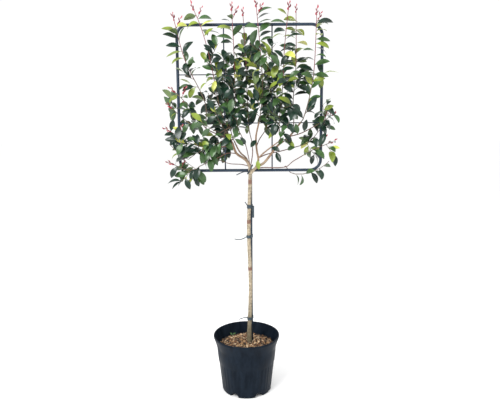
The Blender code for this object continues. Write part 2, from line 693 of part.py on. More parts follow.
def along(route, distance):
    """The point at a distance along a route."""
    for start, end in zip(route, route[1:]):
        stretch = (end - start).length
        if distance <= stretch:
            break
        distance -= stretch
    return start.lerp(end, min(distance / stretch, 1.0))


def route_length(route):
    return sum((end - start).length for start, end in zip(route, route[1:]))


class Twig:
    """A three-sided stem along a route."""

    def __init__(self, route, start_radius, tip_radius):
        self.route = route
        self.radii = tapered(route, start_radius, tip_radius)
        self.frames = frames_along(route)
        self.length = route_length(route)

    def mesh(self):
        made = bmesh.new()
        sweep(made, self.route, self.radii, 3)
        return made

    def leaving(self, distance, degrees, rise):
        """A point on the axis and a heading that leaves it, at an angle round the twig."""
        passed = 0.0
        for start, end, frame in zip(self.route, self.route[1:], self.frames):
            passed += (end - start).length
            if passed >= distance:
                break
        angle = math.radians(degrees)
        out = frame.to_3x3() @ Vector((math.cos(angle), math.sin(angle), 0))
        heading = (end - start).normalized()
        return along(self.route, distance), out * math.cos(rise) + heading * math.sin(rise)


def leaf_corners(leaf):
    """Six corners: an upright edge inside the twig, both sides, the rib's crown, the tip."""
    across = leaf.heading.cross(leaf.face).normalized()
    up = across.cross(leaf.heading).normalized()
    half = leaf.length / 2
    width = leaf.length * LEAF_WIDTH / 2
    middle = leaf.root + leaf.heading * half
    tip = middle + Matrix.Rotation(-leaf.arch, 3, across) @ leaf.heading * half
    droop = up * width * 0.15
    return [
        leaf.root - up * LEAF_ROOT,
        leaf.root + up * LEAF_ROOT,
        middle - across * width - droop,
        middle + across * width - droop,
        middle + up * LEAF_THICKNESS,
        tip,
    ]


LEAF_FACES = [(0, 1, 2), (1, 0, 3), (2, 1, 4), (4, 1, 3), (2, 4, 5), (5, 4, 3), (0, 2, 5),
              (0, 5, 3)]


class Crown:
    """The room that each mass has, and what its twigs and leaves must stay clear of."""

    def __init__(self):
        self.limbs = {limb.name: limb for limb in LIMBS}
        self.hard = self.hard_things()
        self.leaders = {mass.name: self.leader_routes(mass) for mass in MASSES}
        self.nearest = {name: self.search_tree(routes)
                        for name, routes in self.leaders.items()}

    def hard_things(self):
        """Search trees of the limbs and the frame, each grown by a little air."""
        air = 0.0006
        things = []
        trunk = bmesh.new()
        add_trunk(trunk, grow=air)
        things.append(tree_of(trunk))
        for limb in LIMBS:
            shape = bmesh.new()
            add_limb(shape, limb, grow=air)
            things.append(tree_of(shape))
        rods = [(frame_side_route(turn), FRAME_TUBE_RADIUS) for turn in range(4)]
        rods += [(ends, radius) for name, ends, radius in bar_ends(0.0)]
        for route, radius in rods:
            shape = bmesh.new()
            sweep(shape, route, [radius + air] * len(route), 8)
            things.append(tree_of(shape))
        return things

    def leader_routes(self, mass):
        """The routes of a mass's leaders, the first from 0.3 mm past its bough's tip."""
        bough = smooth_route(self.limbs[mass.limb].places)
        heading = (bough[-1] - bough[-2]).normalized()
        start = bough[-1] + heading * GAP
        routes = [smooth_route([start, start + heading * 0.015] + mass.leaders[0].places,
                               LEADER_STEP)]
        for leader in mass.leaders[1:]:
            fork = along(routes[0], leader.forks_at * route_length(routes[0]))
            routes.append(smooth_route([fork] + leader.places, LEADER_STEP))
        return routes

    def stretched(self, point):
        """Depth counts more than width or height when two masses share a place."""
        return Vector((point.x, point.y * DEPTH_STRETCH, point.z))

    def search_tree(self, routes):
        """A tree of points a few millimetres apart along some routes."""
        points = []
        for route in routes:
            length = route_length(route)
            steps = int(length / 0.006) + 1
            points += [along(route, length * step / steps) for step in range(steps + 1)]
        tree = kdtree.KDTree(len(points))
        for index, point in enumerate(points):
            tree.insert(self.stretched(point), index)
        tree.balance()
        return tree

    def in_space(self, point, mass_name):
        """Inside the crown, outside the open places, and nearest to this mass's leaders."""
        if not (CROWN_LEFT < point.x < CROWN_RIGHT and CROWN_FRONT < point.y < CROWN_BACK
                and CROWN_FOOT < point.z < CROWN_TOP):
            return False
        for x, z, half_width, half_height in SKY:
            if ((point.x - x) / half_width) ** 2 + ((point.z - z) / half_height) ** 2 < 1:
                return False
        place = self.stretched(point)
        own = self.nearest[mass_name].find(place)[2] + SPACE_MARGIN * DEPTH_STRETCH
        return all(tree.find(place)[2] > own for name, tree in self.nearest.items()
                   if name != mass_name)

    def clear(self, tree, others=()):
        """Whether a small surface touches no limb, frame tube or other given surface."""
        return not any(thing.overlap(tree) for thing in (*self.hard, *others))


class Growth:
    """The twigs and leaves of one mass."""

    def __init__(self, crown, mass):
        self.crown = crown
        self.name = mass.name
        self.chance = random.Random(mass.seed)
        self.twigs = []
        self.twig_trees = []
        self.leaves = []
        self.leaf_trees = []
        for leader, route in zip(mass.leaders, crown.leaders[mass.name]):
            self.add_leader(leader, route)

    def add_twig(self, twig):
        self.twigs.append(twig)
        self.twig_trees.append(tree_of(twig.mesh()))

    def add_leader(self, leader, route):
        """A long shoot with leafy spurs on its lower part, leaves, and side tips."""
        shoot = Twig(route, STEM_RADIUS, SHOOT_TIP_RADIUS)
        self.add_twig(shoot)
        for index in range(leader.spurs):
            share = (index + self.chance.uniform(0.1, 0.9)) / leader.spurs
            self.add_spur(shoot, 0.015 + shoot.length * leader.dense_to * share)
        bare = BARE_TIP if leader.dense_to < 0.6 else 0.015
        self.add_leaves(shoot, 0.03, shoot.length - bare, SHOOT_LEAF_SPACING)
        self.add_tips(leader.tips, shoot)

    def add_spur(self, shoot, distance):
        """A short side twig with leaves, tried in a few directions."""
        for _ in range(TRIES):
            side = self.chance.choice(TWIG_FACES)
            base, direction = shoot.leaving(
                distance, side + self.chance.uniform(-FACE_SPREAD, FACE_SPREAD),
                self.chance.uniform(0.2, 0.8))
            length = self.chance.uniform(*SPUR_LENGTH)
            route = [base, base + direction * length * 0.5,
                     base + direction * length + Vector((0, 0, 0.12 * length))]
            if not all(self.crown.in_space(point, self.name) for point in route[1:]):
                continue
            spur = Twig(route, SPUR_RADIUS, SPUR_TIP_RADIUS)
            if not self.crown.clear(tree_of(spur.mesh()), self.leaf_trees):
                continue
            self.add_twig(spur)
            self.add_leaves(spur, 0.020, length - 0.006, SPUR_LEAF_SPACING)
            self.add_end_leaf(spur)
            return

    def add_leaves(self, twig, first, last, spacing):
        """Leaves along a twig, on each of its three faces in turn."""
        turn = self.chance.randrange(3)
        distance = first
        while distance < last:
            for attempt in range(TRIES):
                side = TWIG_FACES[(turn + attempt) % 3]
                root, direction = twig.leaving(
                    distance, side + self.chance.uniform(-FACE_SPREAD, FACE_SPREAD),
                    self.chance.uniform(0.1, 0.8))
                if self.try_leaf(twig, root, direction):
                    break
            turn += attempt + 1
            distance += spacing * self.chance.uniform(0.8, 1.2)

    def add_end_leaf(self, twig):
        """The leaf at a spur's tip, which carries on in its direction."""
        for attempt in range(TRIES):
            rise = math.pi / 2 - 0.12 * attempt
            root, direction = twig.leaving(twig.length - 0.003, 137 * attempt, rise)
            if self.try_leaf(twig, root, direction):
                return

    def try_leaf(self, twig, root, direction):
        """Add a leaf unless it leaves the space or touches something."""
        front = -1 if direction.y < 0.6 else 1
        face = Vector((self.chance.uniform(-0.4, 0.4), front * self.chance.uniform(0.1, 2.0),
                       1.0))
        leaf = Leaf(root, direction, face, self.chance.uniform(*LEAF_LENGTH),
                    self.chance.uniform(0.3, 0.9))
        corners = leaf_corners(leaf)
        root_up, left, right, top, tip = corners[1:]
        checked = (left, right, top, tip, (left + tip) / 2, (right + tip) / 2,
                   (root_up + top) / 2)
        if not all(self.crown.in_space(corner, self.name) for corner in checked):
            return False
        tree = BVHTree.FromPolygons(corners, LEAF_FACES)
        others = [other for other, owner in zip(self.twig_trees, self.twigs)
                  if owner is not twig]
        if not self.crown.clear(tree, others + self.leaf_trees):
            return False
        self.leaves.append(leaf)
        self.leaf_trees.append(tree)
        return True

    def add_tips(self, count, shoot):
        """Side tips near the top of a shoot."""
        for index in range(count):
            side = -1 if index % 2 else 1
            base = along(shoot.route, shoot.length - 0.062 + 0.014 * index)
            tip = base + Vector((0.018 * side, -0.003, 0.042))
            self.add_twig(Twig([base, tip], SPUR_RADIUS, SPUR_TIP_RADIUS))


def leaf_object(leaf):
    data = bpy.data.meshes.new("leaf")
    data.from_pydata(leaf_corners(leaf), [], LEAF_FACES)
    made = bpy.data.objects.new("leaf", data)
    bpy.context.scene.collection.objects.link(made)
    return made


def make_foliage(leaf_green):
    """Join the twigs and leaves of each mass into one solid."""
    crown = Crown()
    for mass in MASSES:
        growth = Growth(crown, mass)
        pieces = [add_object("twig", twig.mesh(), leaf_green) for twig in growth.twigs]
        pieces += [leaf_object(leaf) for leaf in growth.leaves]
        made = joined(mass.name, pieces[0], pieces[1:], leaf_green)
        crown.hard.append(BVHTree.FromObject(made, bpy.context.evaluated_depsgraph_get()))


def main():
    for old in list(bpy.data.objects):
        bpy.data.objects.remove(old, do_unlink=True)
    make_pot(material("black_plastic", (0.010, 0.014, 0.022), 0.45))
    make_soil(material("bark_mulch", (0.30, 0.15, 0.06), 0.9))
    make_limbs(material("bark", (0.42, 0.33, 0.20), 0.7),
               material("young_bark", (0.20, 0.09, 0.05), 0.6))
    make_frame(material("painted_steel", (0.020, 0.034, 0.060), 0.4, metallic=0.3))
    make_ties(material("rubber", (0.030, 0.045, 0.050), 0.7))
    make_foliage(material("leaf_green", (0.035, 0.085, 0.025), 0.35))


main()
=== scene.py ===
"""Looks of a red robin photinia in a nursery pot, trained flat on a square steel frame."""

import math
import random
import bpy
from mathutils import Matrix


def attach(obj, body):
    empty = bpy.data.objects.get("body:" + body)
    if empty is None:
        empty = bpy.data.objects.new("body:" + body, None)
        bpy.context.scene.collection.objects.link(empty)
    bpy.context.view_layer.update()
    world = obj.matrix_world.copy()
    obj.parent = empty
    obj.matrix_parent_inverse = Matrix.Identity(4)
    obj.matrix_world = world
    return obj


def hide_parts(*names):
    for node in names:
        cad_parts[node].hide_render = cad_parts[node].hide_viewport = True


bl_info = {
    "name": "Potted photinia espalier",
    "version": (1, 0, 0),
    "blender": (4, 5, 0),
    "location": "View3D > Sidebar > Espalier",
    "description": "Builds a potted espalier with its frame, ties, bark and foliage",
    "category": "Add Mesh",
}

from collections import namedtuple

import bmesh
import bpy
from bpy.props import FloatProperty, FloatVectorProperty, IntProperty, PointerProperty
from mathutils import Matrix, Vector, geometry, kdtree, noise
from mathutils.bvhtree import BVHTree

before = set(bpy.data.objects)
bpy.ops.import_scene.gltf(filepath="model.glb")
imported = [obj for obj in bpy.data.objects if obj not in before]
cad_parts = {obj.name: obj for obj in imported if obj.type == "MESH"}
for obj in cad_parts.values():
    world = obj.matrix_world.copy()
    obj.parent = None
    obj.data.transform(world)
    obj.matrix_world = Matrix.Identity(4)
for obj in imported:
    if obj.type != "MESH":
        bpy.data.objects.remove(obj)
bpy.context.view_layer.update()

# Pot
POT_HEIGHT = 0.267
POT_RIM_RADIUS = 0.155
POT_NECK_RADIUS = 0.1395
POT_NECK_HEIGHT = 0.212
POT_BASE_RADIUS = 0.1155
POT_WALL = 0.0024
POT_STATIONS = 240
FLUTE_TOP = 0.142
NOTCHES = 6
NOTCH_HEIGHT = 0.014
NOTCH_INNER_RADIUS = 0.088
FLOOR_THICKNESS = 0.003
INNER_STEP = 0.0036
SPUN_SEAM = 1e-6
POT_DUST = 0.002

# Soil and mulch
SOIL_TOP = 0.228
SOIL_FLAT_RADIUS = 0.034
SOIL_EDGE_RADIUS = 0.134
SOIL_FALL = 0.021
MULCH_RADIUS = 0.131
RIM_SHADE_START = 0.095
CHIP_GAP_AT_TRUNK = 0.017
CHIP_GAP_AT_POST = 0.012
CHIP_LENGTH = (0.004, 0.012)
CHIP_BREADTH = (0.35, 0.7)
CHIP_THICKNESS = (0.0012, 0.0035)
CHIP_RISE = 0.0055
CHIP_RAGGEDNESS = 0.0009

# Frame and its leg
FRAME_X = 0.0245
FRAME_Y = 0.019
FRAME_SIDE = 0.637
FRAME_BOTTOM = 1.041
FRAME_TUBE_RADIUS = 0.0067
FRAME_CORNER_RADIUS = 0.048
BAR_PITCH = FRAME_SIDE / 3
BAR_SHIFT = -0.0075
UPRIGHT_RADIUS = 0.003
CROSSBAR_RADIUS = 0.0023
POST_RADIUS = 0.0075
POST_DEPTH_IN_SOIL = 0.11
TUBE_WELD = FRAME_TUBE_RADIUS * 0.6

# Trunk
TRUNK_FOOT_X = 0.0163
TRUNK_LEAN = 0.003
TRUNK_SWAY = 0.0035
TRUNK_SWAY_LENGTH = 0.54
TRUNK_TOP = 1.068
TRUNK_RADIUS = 0.0092
TRUNK_TOP_RADIUS = 0.0079
ROOT_FLARE = 0.0038
ROOT_FLARE_HEIGHT = 0.035
SCAR_SWELL = 0.0006
TRUNK_RELIEF = 0.00045
BOUGH_RELIEF = 0.00028
FINE_GRAIN = 420
LONG_GRAIN = 60
KNOT_GRAIN = 38
THICK_BOUGH = 0.003
LIMB_STEP = 0.006

# Old leaf scars that ring the trunk: height, half width
SCARS = [(0.991, 0.011), (0.807, 0.009), (0.585, 0.008)]

# Ties: height and width of each strap, then the lashing at the fork
STRAPS = [(0.877, 0.016), (0.737, 0.014), (0.343, 0.013)]
TIE_THICKNESS = 0.0016
STRAP_TAILS = [
    [(0.0075, -0.001, 0.884), (0.003, -0.004, 0.892), (-0.002, -0.005, 0.899)],
    [(0.0047, -0.001, 0.737), (-0.008, -0.005, 0.730), (-0.028, -0.006, 0.724),
     (-0.052, -0.004, 0.727)],
    [(0.0048, -0.001, 0.346), (-0.010, -0.006, 0.348), (-0.035, -0.008, 0.341)],
]
STRAP_END = Vector((0.0345, 0.0055, 0.852))
STRAP_END_SIZE = (0.011, 0.0018, 0.056)
FORK_TIE_HEIGHT = 1.046
FORK_TIE_SLOPE = 1.75
FORK_TIE_POINTS = 48
FORK_TAIL_POINT = 17
CORD_RADIUS = 0.0026
TAIL_RADIUS = 0.0022
FORK_TAIL_RADIUS = 0.0024

# Crown
CROWN_LEFT = -0.380
CROWN_RIGHT = 0.421
CROWN_FRONT = -0.125
CROWN_BACK = 0.130
CROWN_TOP = 1.776
CROWN_FOOT = 0.965

# Growth rule
GAP = 0.0003
STEM_RADIUS = 0.0021
SHOOT_TIP_RADIUS = 0.0014
SPUR_RADIUS = 0.0013
SPUR_TIP_RADIUS = 0.0009
SPUR_LENGTH = (0.045, 0.100)
LEAF_LENGTH = (0.048, 0.072)
LEAF_WIDTH = 0.43
SHOOT_LEAF_SPACING = 0.020
TOP_LEAF_SPACING = 0.0165
TALL = 1.60
SPUR_LEAF_SPACING = 0.011
TWIG_SIDES = (210, 330, 90)
SIDE_SPREAD = 50
BARE_TIP = 0.050
DEPTH_STRETCH = 3.0
SPACE_MARGIN = 0.001
TRIES = 12
AIR = 0.0006
ROUGH_STEP = 0.035
LEADER_STEP = 0.030
SPUR_STEP = 0.02
SPUR_LIFT = 0.12
YOUNG_HEIGHTS = (1.35, 1.65)
YOUNG_SIDES = (0.22, 0.36)
UPRIGHT_HEIGHTS = (1.40, 1.60)
LEAF_TILT = (-0.4, 0.4)
LEAF_TURN = (0.1, 1.9)
LEAF_ARCH = (0.4, 1.25)
TIP_START = 0.062
TIP_SPACING = 0.014
TIP_REACH = 0.018
TIP_RISE = 0.042
BUDS = 4
BUD_LENGTH = (0.012, 0.021)
BUD_SPACING = 0.009
STALK = 0.09
THINNEST = 0.0006

# View
LENS = 36.64
SENSOR = 36.0
CAMERA_PLACE = Vector((0.0214, -2.290, 1.2565))
CAMERA_PITCH = math.radians(8.676)
CAMERA_ROLL = math.radians(-0.4185)
FLOOR_SIZE = 30.0
LIGHTS = [
    ("key", (-1.7, -2.3, 2.9), 1.6, 110.0),
    ("fill", (2.4, -1.6, 1.7), 1.4, 12.0),
    ("rim", (0.8, 2.4, 2.6), 1.4, 20.0),
]

Limb = namedtuple("Limb", "name start_radius tip_radius places")
Leader = namedtuple("Leader", "forks_at dense_to spurs tips places")
Mass = namedtuple("Mass", "name limb seed leaders")
Leaf = namedtuple("Leaf", "root heading face length arch tone")
Finish = namedtuple("Finish", "grain stretch roughness bump depth specular")

PLASTIC = Finish(34.0, 0.35, 0.40, 0.12, 0.0006, 0.06)
SOIL = Finish(260.0, 1.0, 0.95, 0.9, 0.003, 0.5)
CHIP = Finish(240.0, 1.0, 0.85, 0.5, 0.001, 0.5)
OLD_BARK = Finish(120.0, 0.75, 0.72, 0.8, 0.0014, 0.5)
YOUNG_BARK = Finish(110.0, 0.6, 0.6, 0.4, 0.0008, 0.5)
PAINT = Finish(45.0, 1.0, 0.34, 0.08, 0.0004, 0.35)
RUBBER = Finish(120.0, 1.0, 0.62, 0.2, 0.0005, 0.3)
GREEN_STEM = Finish(90.0, 0.5, 0.55, 0.2, 0.0006, 0.5)
RED_STEM = Finish(90.0, 0.4, 0.45, 0.1, 0.0004, 0.5)
BLADE = Finish(15.0, 1.0, 0.30, 0.0, 0.0004, 0.38)

# Leaf tones: colour of the underside, roughness
LEAF_TONES = {
    "dark": ((0.055, 0.105, 0.045), 0.30),
    "mid": ((0.115, 0.17, 0.06), 0.33),
    "bright": ((0.27, 0.33, 0.06), 0.36),
    "pale": ((0.55, 0.54, 0.16), 0.42),
    "red": ((0.34, 0.04, 0.06), 0.38),
}

# Share of each tone in old growth, and how it changes towards the young
TONE_WEIGHTS = {"dark": (6.5, -4.3), "mid": (2.6, 0.0), "bright": (0.5, 2.6),
                "pale": (0.06, 0.45)}

# Chip colours: light, dark
CHIPS = {
    "chips_tan": ((0.46, 0.28, 0.13), (0.20, 0.10, 0.045)),
    "chips_brown": ((0.20, 0.085, 0.035), (0.07, 0.030, 0.014)),
    "chips_pale": ((0.70, 0.54, 0.35), (0.38, 0.25, 0.14)),
    # The near-black chips are partly real dark chips and partly painted shade in the gaps between
    # chips
    "chips_dark": ((0.060, 0.035, 0.022), (0.018, 0.012, 0.009)),
}

LIMBS = [
    Limb("bough_left", 0.0064, 0.0044, [
        (0.0235, 0, 1.052), (0.006, -0.002, 1.087), (-0.037, -0.006, 1.119),
        (-0.050, -0.008, 1.150), (-0.066, -0.010, 1.190)]),
    Limb("bough_right", 0.0063, 0.0036, [
        (0.0235, -0.002, 1.026), (0.050, -0.004, 1.056), (0.086, -0.006, 1.077),
        (0.146, -0.010, 1.152), (0.199, -0.012, 1.194), (0.249, -0.014, 1.256)]),
    Limb("bough_centre", 0.0048, 0.0034, [
        (0.048, -0.004, 1.055), (0.060, -0.010, 1.088), (0.053, -0.014, 1.135),
        (0.050, -0.016, 1.192), (0.063, -0.018, 1.256)]),
    Limb("bough_left_inner", 0.0036, 0.0028, [
        (0.021, 0.001, 1.062), (0.006, 0.006, 1.097), (-0.022, 0.008, 1.124),
        (-0.048, 0.036, 1.172)]),
    Limb("bough_left_side", 0.0029, 0.0023, [
        (-0.064, -0.010, 1.183), (-0.103, -0.014, 1.198), (-0.156, -0.018, 1.221)]),
    Limb("bough_left_end", 0.0021, 0.0018, [
        (-0.138, -0.017, 1.213), (-0.164, -0.028, 1.226), (-0.186, -0.030, 1.250)]),
    Limb("bough_left_middle", 0.0025, 0.0020, [
        (-0.049, -0.008, 1.147), (-0.090, -0.030, 1.151), (-0.134, -0.045, 1.146)]),
    Limb("bough_left_low", 0.0022, 0.0017, [
        (-0.037, -0.007, 1.119), (-0.078, -0.013, 1.121), (-0.114, -0.016, 1.104),
        (-0.189, -0.020, 1.070)]),
    Limb("bough_left_bottom", 0.0020, 0.0016, [
        (0.021, 0.001, 1.060), (-0.014, 0.003, 1.069), (-0.068, 0.002, 1.073),
        (-0.112, -0.004, 1.088)]),
    Limb("bough_left_thin", 0.0021, 0.0017, [
        (0.023, -0.001, 1.060), (0.015, -0.007, 1.108), (0.001, -0.012, 1.165),
        (-0.025, -0.020, 1.219)]),
    Limb("bough_centre_red", 0.0023, 0.0018, [
        (0.0245, 0.001, 1.058), (0.034, 0.004, 1.113), (0.033, 0.010, 1.160),
        (0.023, 0.036, 1.207)]),
    Limb("bough_centre_back", 0.0024, 0.0019, [
        (0.052, -0.014, 1.150), (0.064, 0.010, 1.178), (0.090, 0.038, 1.215)]),
    Limb("bough_right_inner", 0.0035, 0.0026, [
        (0.059, -0.011, 1.096), (0.086, -0.018, 1.123), (0.146, -0.031, 1.169)]),
    Limb("bough_right_rising", 0.0025, 0.0021, [
        (0.210, -0.012, 1.207), (0.217, -0.005, 1.234), (0.219, 0.003, 1.264)]),
    Limb("bough_right_outer", 0.0027, 0.0021, [
        (0.199, -0.012, 1.193), (0.249, -0.016, 1.207), (0.306, -0.020, 1.236)]),
    Limb("bough_right_low", 0.0024, 0.0019, [
        (0.060, -0.009, 1.098), (0.096, 0.008, 1.113), (0.165, 0.014, 1.128),
        (0.236, 0.030, 1.146)]),
    Limb("bough_right_bottom", 0.0024, 0.0019, [
        (0.044, -0.002, 1.050), (0.078, -0.002, 1.0545), (0.182, -0.002, 1.057),
        (0.215, -0.008, 1.082), (0.251, -0.014, 1.104)]),
    Limb("bough_right_under", 0.0018, 0.0015, [
        (0.178, -0.001, 1.057), (0.184, 0.017, 1.059), (0.194, 0.033, 1.046),
        (0.206, 0.024, 1.030), (0.217, 0.009, 1.027)]),
]

MASSES = [
    Mass("foliage_left_top", "bough_left_side", 11, [
        Leader(0.0, 0.50, 5, 1, [
            (-0.172, -0.014, 1.340), (-0.256, -0.012, 1.523), (-0.306, -0.010, 1.718)])]),
    Mass("foliage_left_side", "bough_left_end", 12, [
        Leader(0.0, 0.60, 0, 1, [(-0.250, -0.030, 1.337), (-0.320, -0.028, 1.406)]),
        Leader(0.05, 0.90, 2, 1, [
            (-0.230, 0.000, 1.246), (-0.290, 0.034, 1.288), (-0.349, 0.040, 1.340)])]),
    Mass("foliage_left_inner_top", "bough_left", 13, [
        Leader(0.0, 0.60, 11, 1, [
            (-0.112, -0.012, 1.338), (-0.147, -0.010, 1.524),
            (-0.186, -0.006, 1.667), (-0.225, -0.006, 1.759)]),
        Leader(0.03, 0.95, 2, 0, [(-0.084, -0.050, 1.222), (-0.094, -0.088, 1.150)])]),
    Mass("foliage_left_heart", "bough_left_inner", 14, [
        Leader(0.0, 0.85, 12, 0, [(-0.072, 0.046, 1.260), (-0.085, 0.050, 1.500)]),
        Leader(0.2, 0.80, 8, 0, [(-0.110, 0.055, 1.270), (-0.165, 0.060, 1.390)]),
        Leader(0.04, 0.95, 6, 0, [(-0.088, 0.062, 1.160), (-0.150, 0.066, 1.120)])]),
    Mass("foliage_centre_left", "bough_left_thin", 15, [
        Leader(0.0, 0.58, 11, 1, [
            (-0.040, -0.024, 1.355), (-0.042, -0.026, 1.521), (-0.052, -0.026, 1.754)]),
        Leader(0.03, 0.95, 5, 0, [(-0.070, -0.058, 1.232), (-0.128, -0.066, 1.200)])]),
    Mass("foliage_centre_back", "bough_centre_red", 16, [
        Leader(0.0, 0.58, 8, 0, [
            (0.012, 0.040, 1.373), (0.007, 0.042, 1.543), (-0.005, 0.040, 1.745)])]),
    Mass("foliage_centre_top", "bough_centre", 17, [
        Leader(0.0, 0.58, 12, 1, [
            (0.079, -0.020, 1.370), (0.076, -0.018, 1.500), (0.052, -0.010, 1.771)])]),
    Mass("foliage_heart_back", "bough_centre_back", 18, [
        Leader(0.0, 0.90, 9, 0, [(0.112, 0.050, 1.300), (0.128, 0.054, 1.470)])]),
    Mass("foliage_right_inner_top", "bough_right_inner", 19, [
        Leader(0.0, 0.58, 8, 0, [
            (0.151, -0.034, 1.239), (0.165, -0.036, 1.386),
            (0.174, -0.036, 1.571), (0.193, -0.030, 1.755)])]),
    Mass("foliage_right_back_top", "bough_right_rising", 20, [
        Leader(0.0, 0.60, 4, 0, [
            (0.218, 0.032, 1.349), (0.230, 0.038, 1.500), (0.229, 0.038, 1.758)])]),
    Mass("foliage_right_top", "bough_right", 21, [
        Leader(0.0, 0.50, 2, 1, [
            (0.283, -0.016, 1.354), (0.304, -0.014, 1.473), (0.314, -0.012, 1.737)])]),
    Mass("foliage_right_side", "bough_right_outer", 22, [
        Leader(0.0, 0.80, 2, 1, [(0.369, -0.020, 1.274), (0.398, -0.020, 1.296)])]),
    Mass("foliage_right_lower", "bough_right_low", 23, [
        Leader(0.0, 0.80, 3, 0, [(0.295, 0.036, 1.168), (0.362, 0.040, 1.251)])]),
    Mass("foliage_right_bottom", "bough_right_bottom", 24, [
        Leader(0.0, 0.80, 2, 1, [(0.298, -0.020, 1.132), (0.396, -0.030, 1.172)])]),
    Mass("foliage_right_under", "bough_right_under", 25, [
        Leader(0.0, 0.60, 0, 0, [
            (0.262, 0.000, 1.024), (0.338, -0.010, 1.051), (0.377, -0.012, 1.082)])]),
    Mass("foliage_left_bottom", "bough_left_bottom", 26, [
        Leader(0.0, 0.90, 9, 0, [(-0.150, -0.010, 1.106), (-0.222, -0.012, 1.140)])]),
    Mass("foliage_left_low", "bough_left_low", 27, [
        Leader(0.0, 0.40, 3, 1, [
            (-0.217, -0.022, 1.052), (-0.262, -0.024, 1.049), (-0.340, -0.028, 1.085)])]),
    Mass("foliage_left_middle", "bough_left_middle", 28, [
        Leader(0.0, 0.55, 7, 1, [
            (-0.196, -0.040, 1.153), (-0.242, -0.036, 1.169), (-0.348, -0.028, 1.232)]),
        Leader(0.3, 0.70, 0, 0, [(-0.247, -0.055, 1.098), (-0.328, -0.055, 1.164)])]),
]

# Open places in the crown: x, z, half width, half height
SKY = [
    (0.020, 1.150, 0.014, 0.060),
    (0.106, 1.083, 0.055, 0.020),
    (-0.035, 1.080, 0.050, 0.014),
    (0.255, 1.345, 0.020, 0.030),
    (-0.215, 1.455, 0.022, 0.030),
    (-0.205, 1.575, 0.016, 0.040),
    (-0.350, 1.120, 0.030, 0.045),
    (-0.230, 1.090, 0.030, 0.016),
]

# Single leaves on the boughs: root, heading, length, tone
LONE_LEAVES = [
    ((0.056, -0.0125, 1.092), (0.10, -0.38, -0.92), 0.046, "bright"),
    ((0.140, 0.0105, 1.1245), (0.25, -0.50, -0.60), 0.056, "dark"),
    ((0.186, -0.014, 1.1800), (0.60, -0.50, -0.50), 0.048, "bright"),
    ((0.190, 0.0190, 1.1340), (0.30, -0.60, 0.20), 0.055, "mid"),
    ((0.262, -0.0185, 1.2135), (0.10, -0.50, 0.85), 0.058, "dark"),
    ((0.235, -0.0165, 1.2030), (-0.20, -0.60, 0.70), 0.055, "mid"),
    ((0.150, -0.0135, 1.1560), (0.20, -0.60, 0.50), 0.050, "mid"),
    ((0.120, -0.0260, 1.1490), (0.50, -0.70, -0.20), 0.050, "dark"),
    ((0.004, -0.0135, 1.1580), (-0.30, -0.60, 0.50), 0.050, "dark"),
    ((0.033, 0.0075, 1.1500), (0.20, -0.70, 0.40), 0.045, "mid"),
    ((0.051, -0.0175, 1.1800), (-0.40, -0.60, -0.40), 0.050, "dark"),
]


def colour_setting(name, description, default):
    return FloatVectorProperty(name=name, description=description, default=default,
                               subtype="COLOR", size=3, min=0.0, max=1.0)


class EspalierPotSettings(bpy.types.PropertyGroup):
    """Sizes and colour of the pot and its mulch."""

    plastic: colour_setting("Plastic", "Colour of the pot", (0.0042, 0.0076, 0.0130))
    ribs: IntProperty(name="Ribs", description="Shallow upright ribs round the pot",
                      default=40, min=0, max=80)
    rib_depth: FloatProperty(name="Rib depth", description="How deep the ribs are pressed",
                             default=0.0011, unit="LENGTH")
    chips: IntProperty(name="Chips", description="Bark chips on the soil", default=2000,
                       min=0, max=4000)


class EspalierFrameSettings(bpy.types.PropertyGroup):
    """Colours of the frame and its ties."""

    paint: colour_setting("Paint", "Colour of the steel frame", (0.015, 0.029, 0.050))
    tie: colour_setting("Tie", "Colour of the rubber ties", (0.016, 0.024, 0.030))


class EspalierPlantSettings(bpy.types.PropertyGroup):
    """Colours of the bark and the leaves."""

    bark: colour_setting("Bark", "Colour of the trunk", (0.50, 0.415, 0.290))
    leaf_dark: colour_setting("Dark leaf", "Old leaves", (0.0065, 0.0250, 0.0145))
    leaf_mid: colour_setting("Mid leaf", "Grown leaves", (0.040, 0.095, 0.026))
    leaf_bright: colour_setting("Bright leaf", "Young leaves", (0.17, 0.23, 0.028))
    leaf_pale: colour_setting("Pale leaf", "Leaves about to fall", (0.46, 0.50, 0.10))
    leaf_red: colour_setting("Red tip", "New growth", (0.25, 0.008, 0.030))


def shaded(colour, factor):
    """A colour made lighter or darker."""
    return tuple(value * factor for value in colour)


def give(tree, node, inputs):
    """Set a node's inputs to values, or link them from other sockets."""
    for name, value in inputs.items():
        if isinstance(value, bpy.types.NodeSocket):
            tree.links.new(value, node.inputs[name])
        else:
            node.inputs[name].default_value = value


def add_node(tree, kind, inputs, **settings):
    """Add a shader node with its settings and its inputs."""
    node = tree.nodes.new(kind)
    for name, value in settings.items():
        setattr(node, name, value)
    give(tree, node, inputs)
    return node


def faded(tree, value, start, end, low=0.0, high=1.0):
    """A value carried from one range to another and held at both ends."""
    return add_node(tree, "ShaderNodeMapRange", {
        "Value": value, "From Min": start, "From Max": end, "To Min": low,
        "To Max": high}).outputs[0]


def mixed(tree, factor, first, second):
    """Two colours mixed by a factor."""
    return add_node(tree, "ShaderNodeMix", {"Factor": factor, "A": first, "B": second},
                    data_type="RGBA").outputs["Result"]


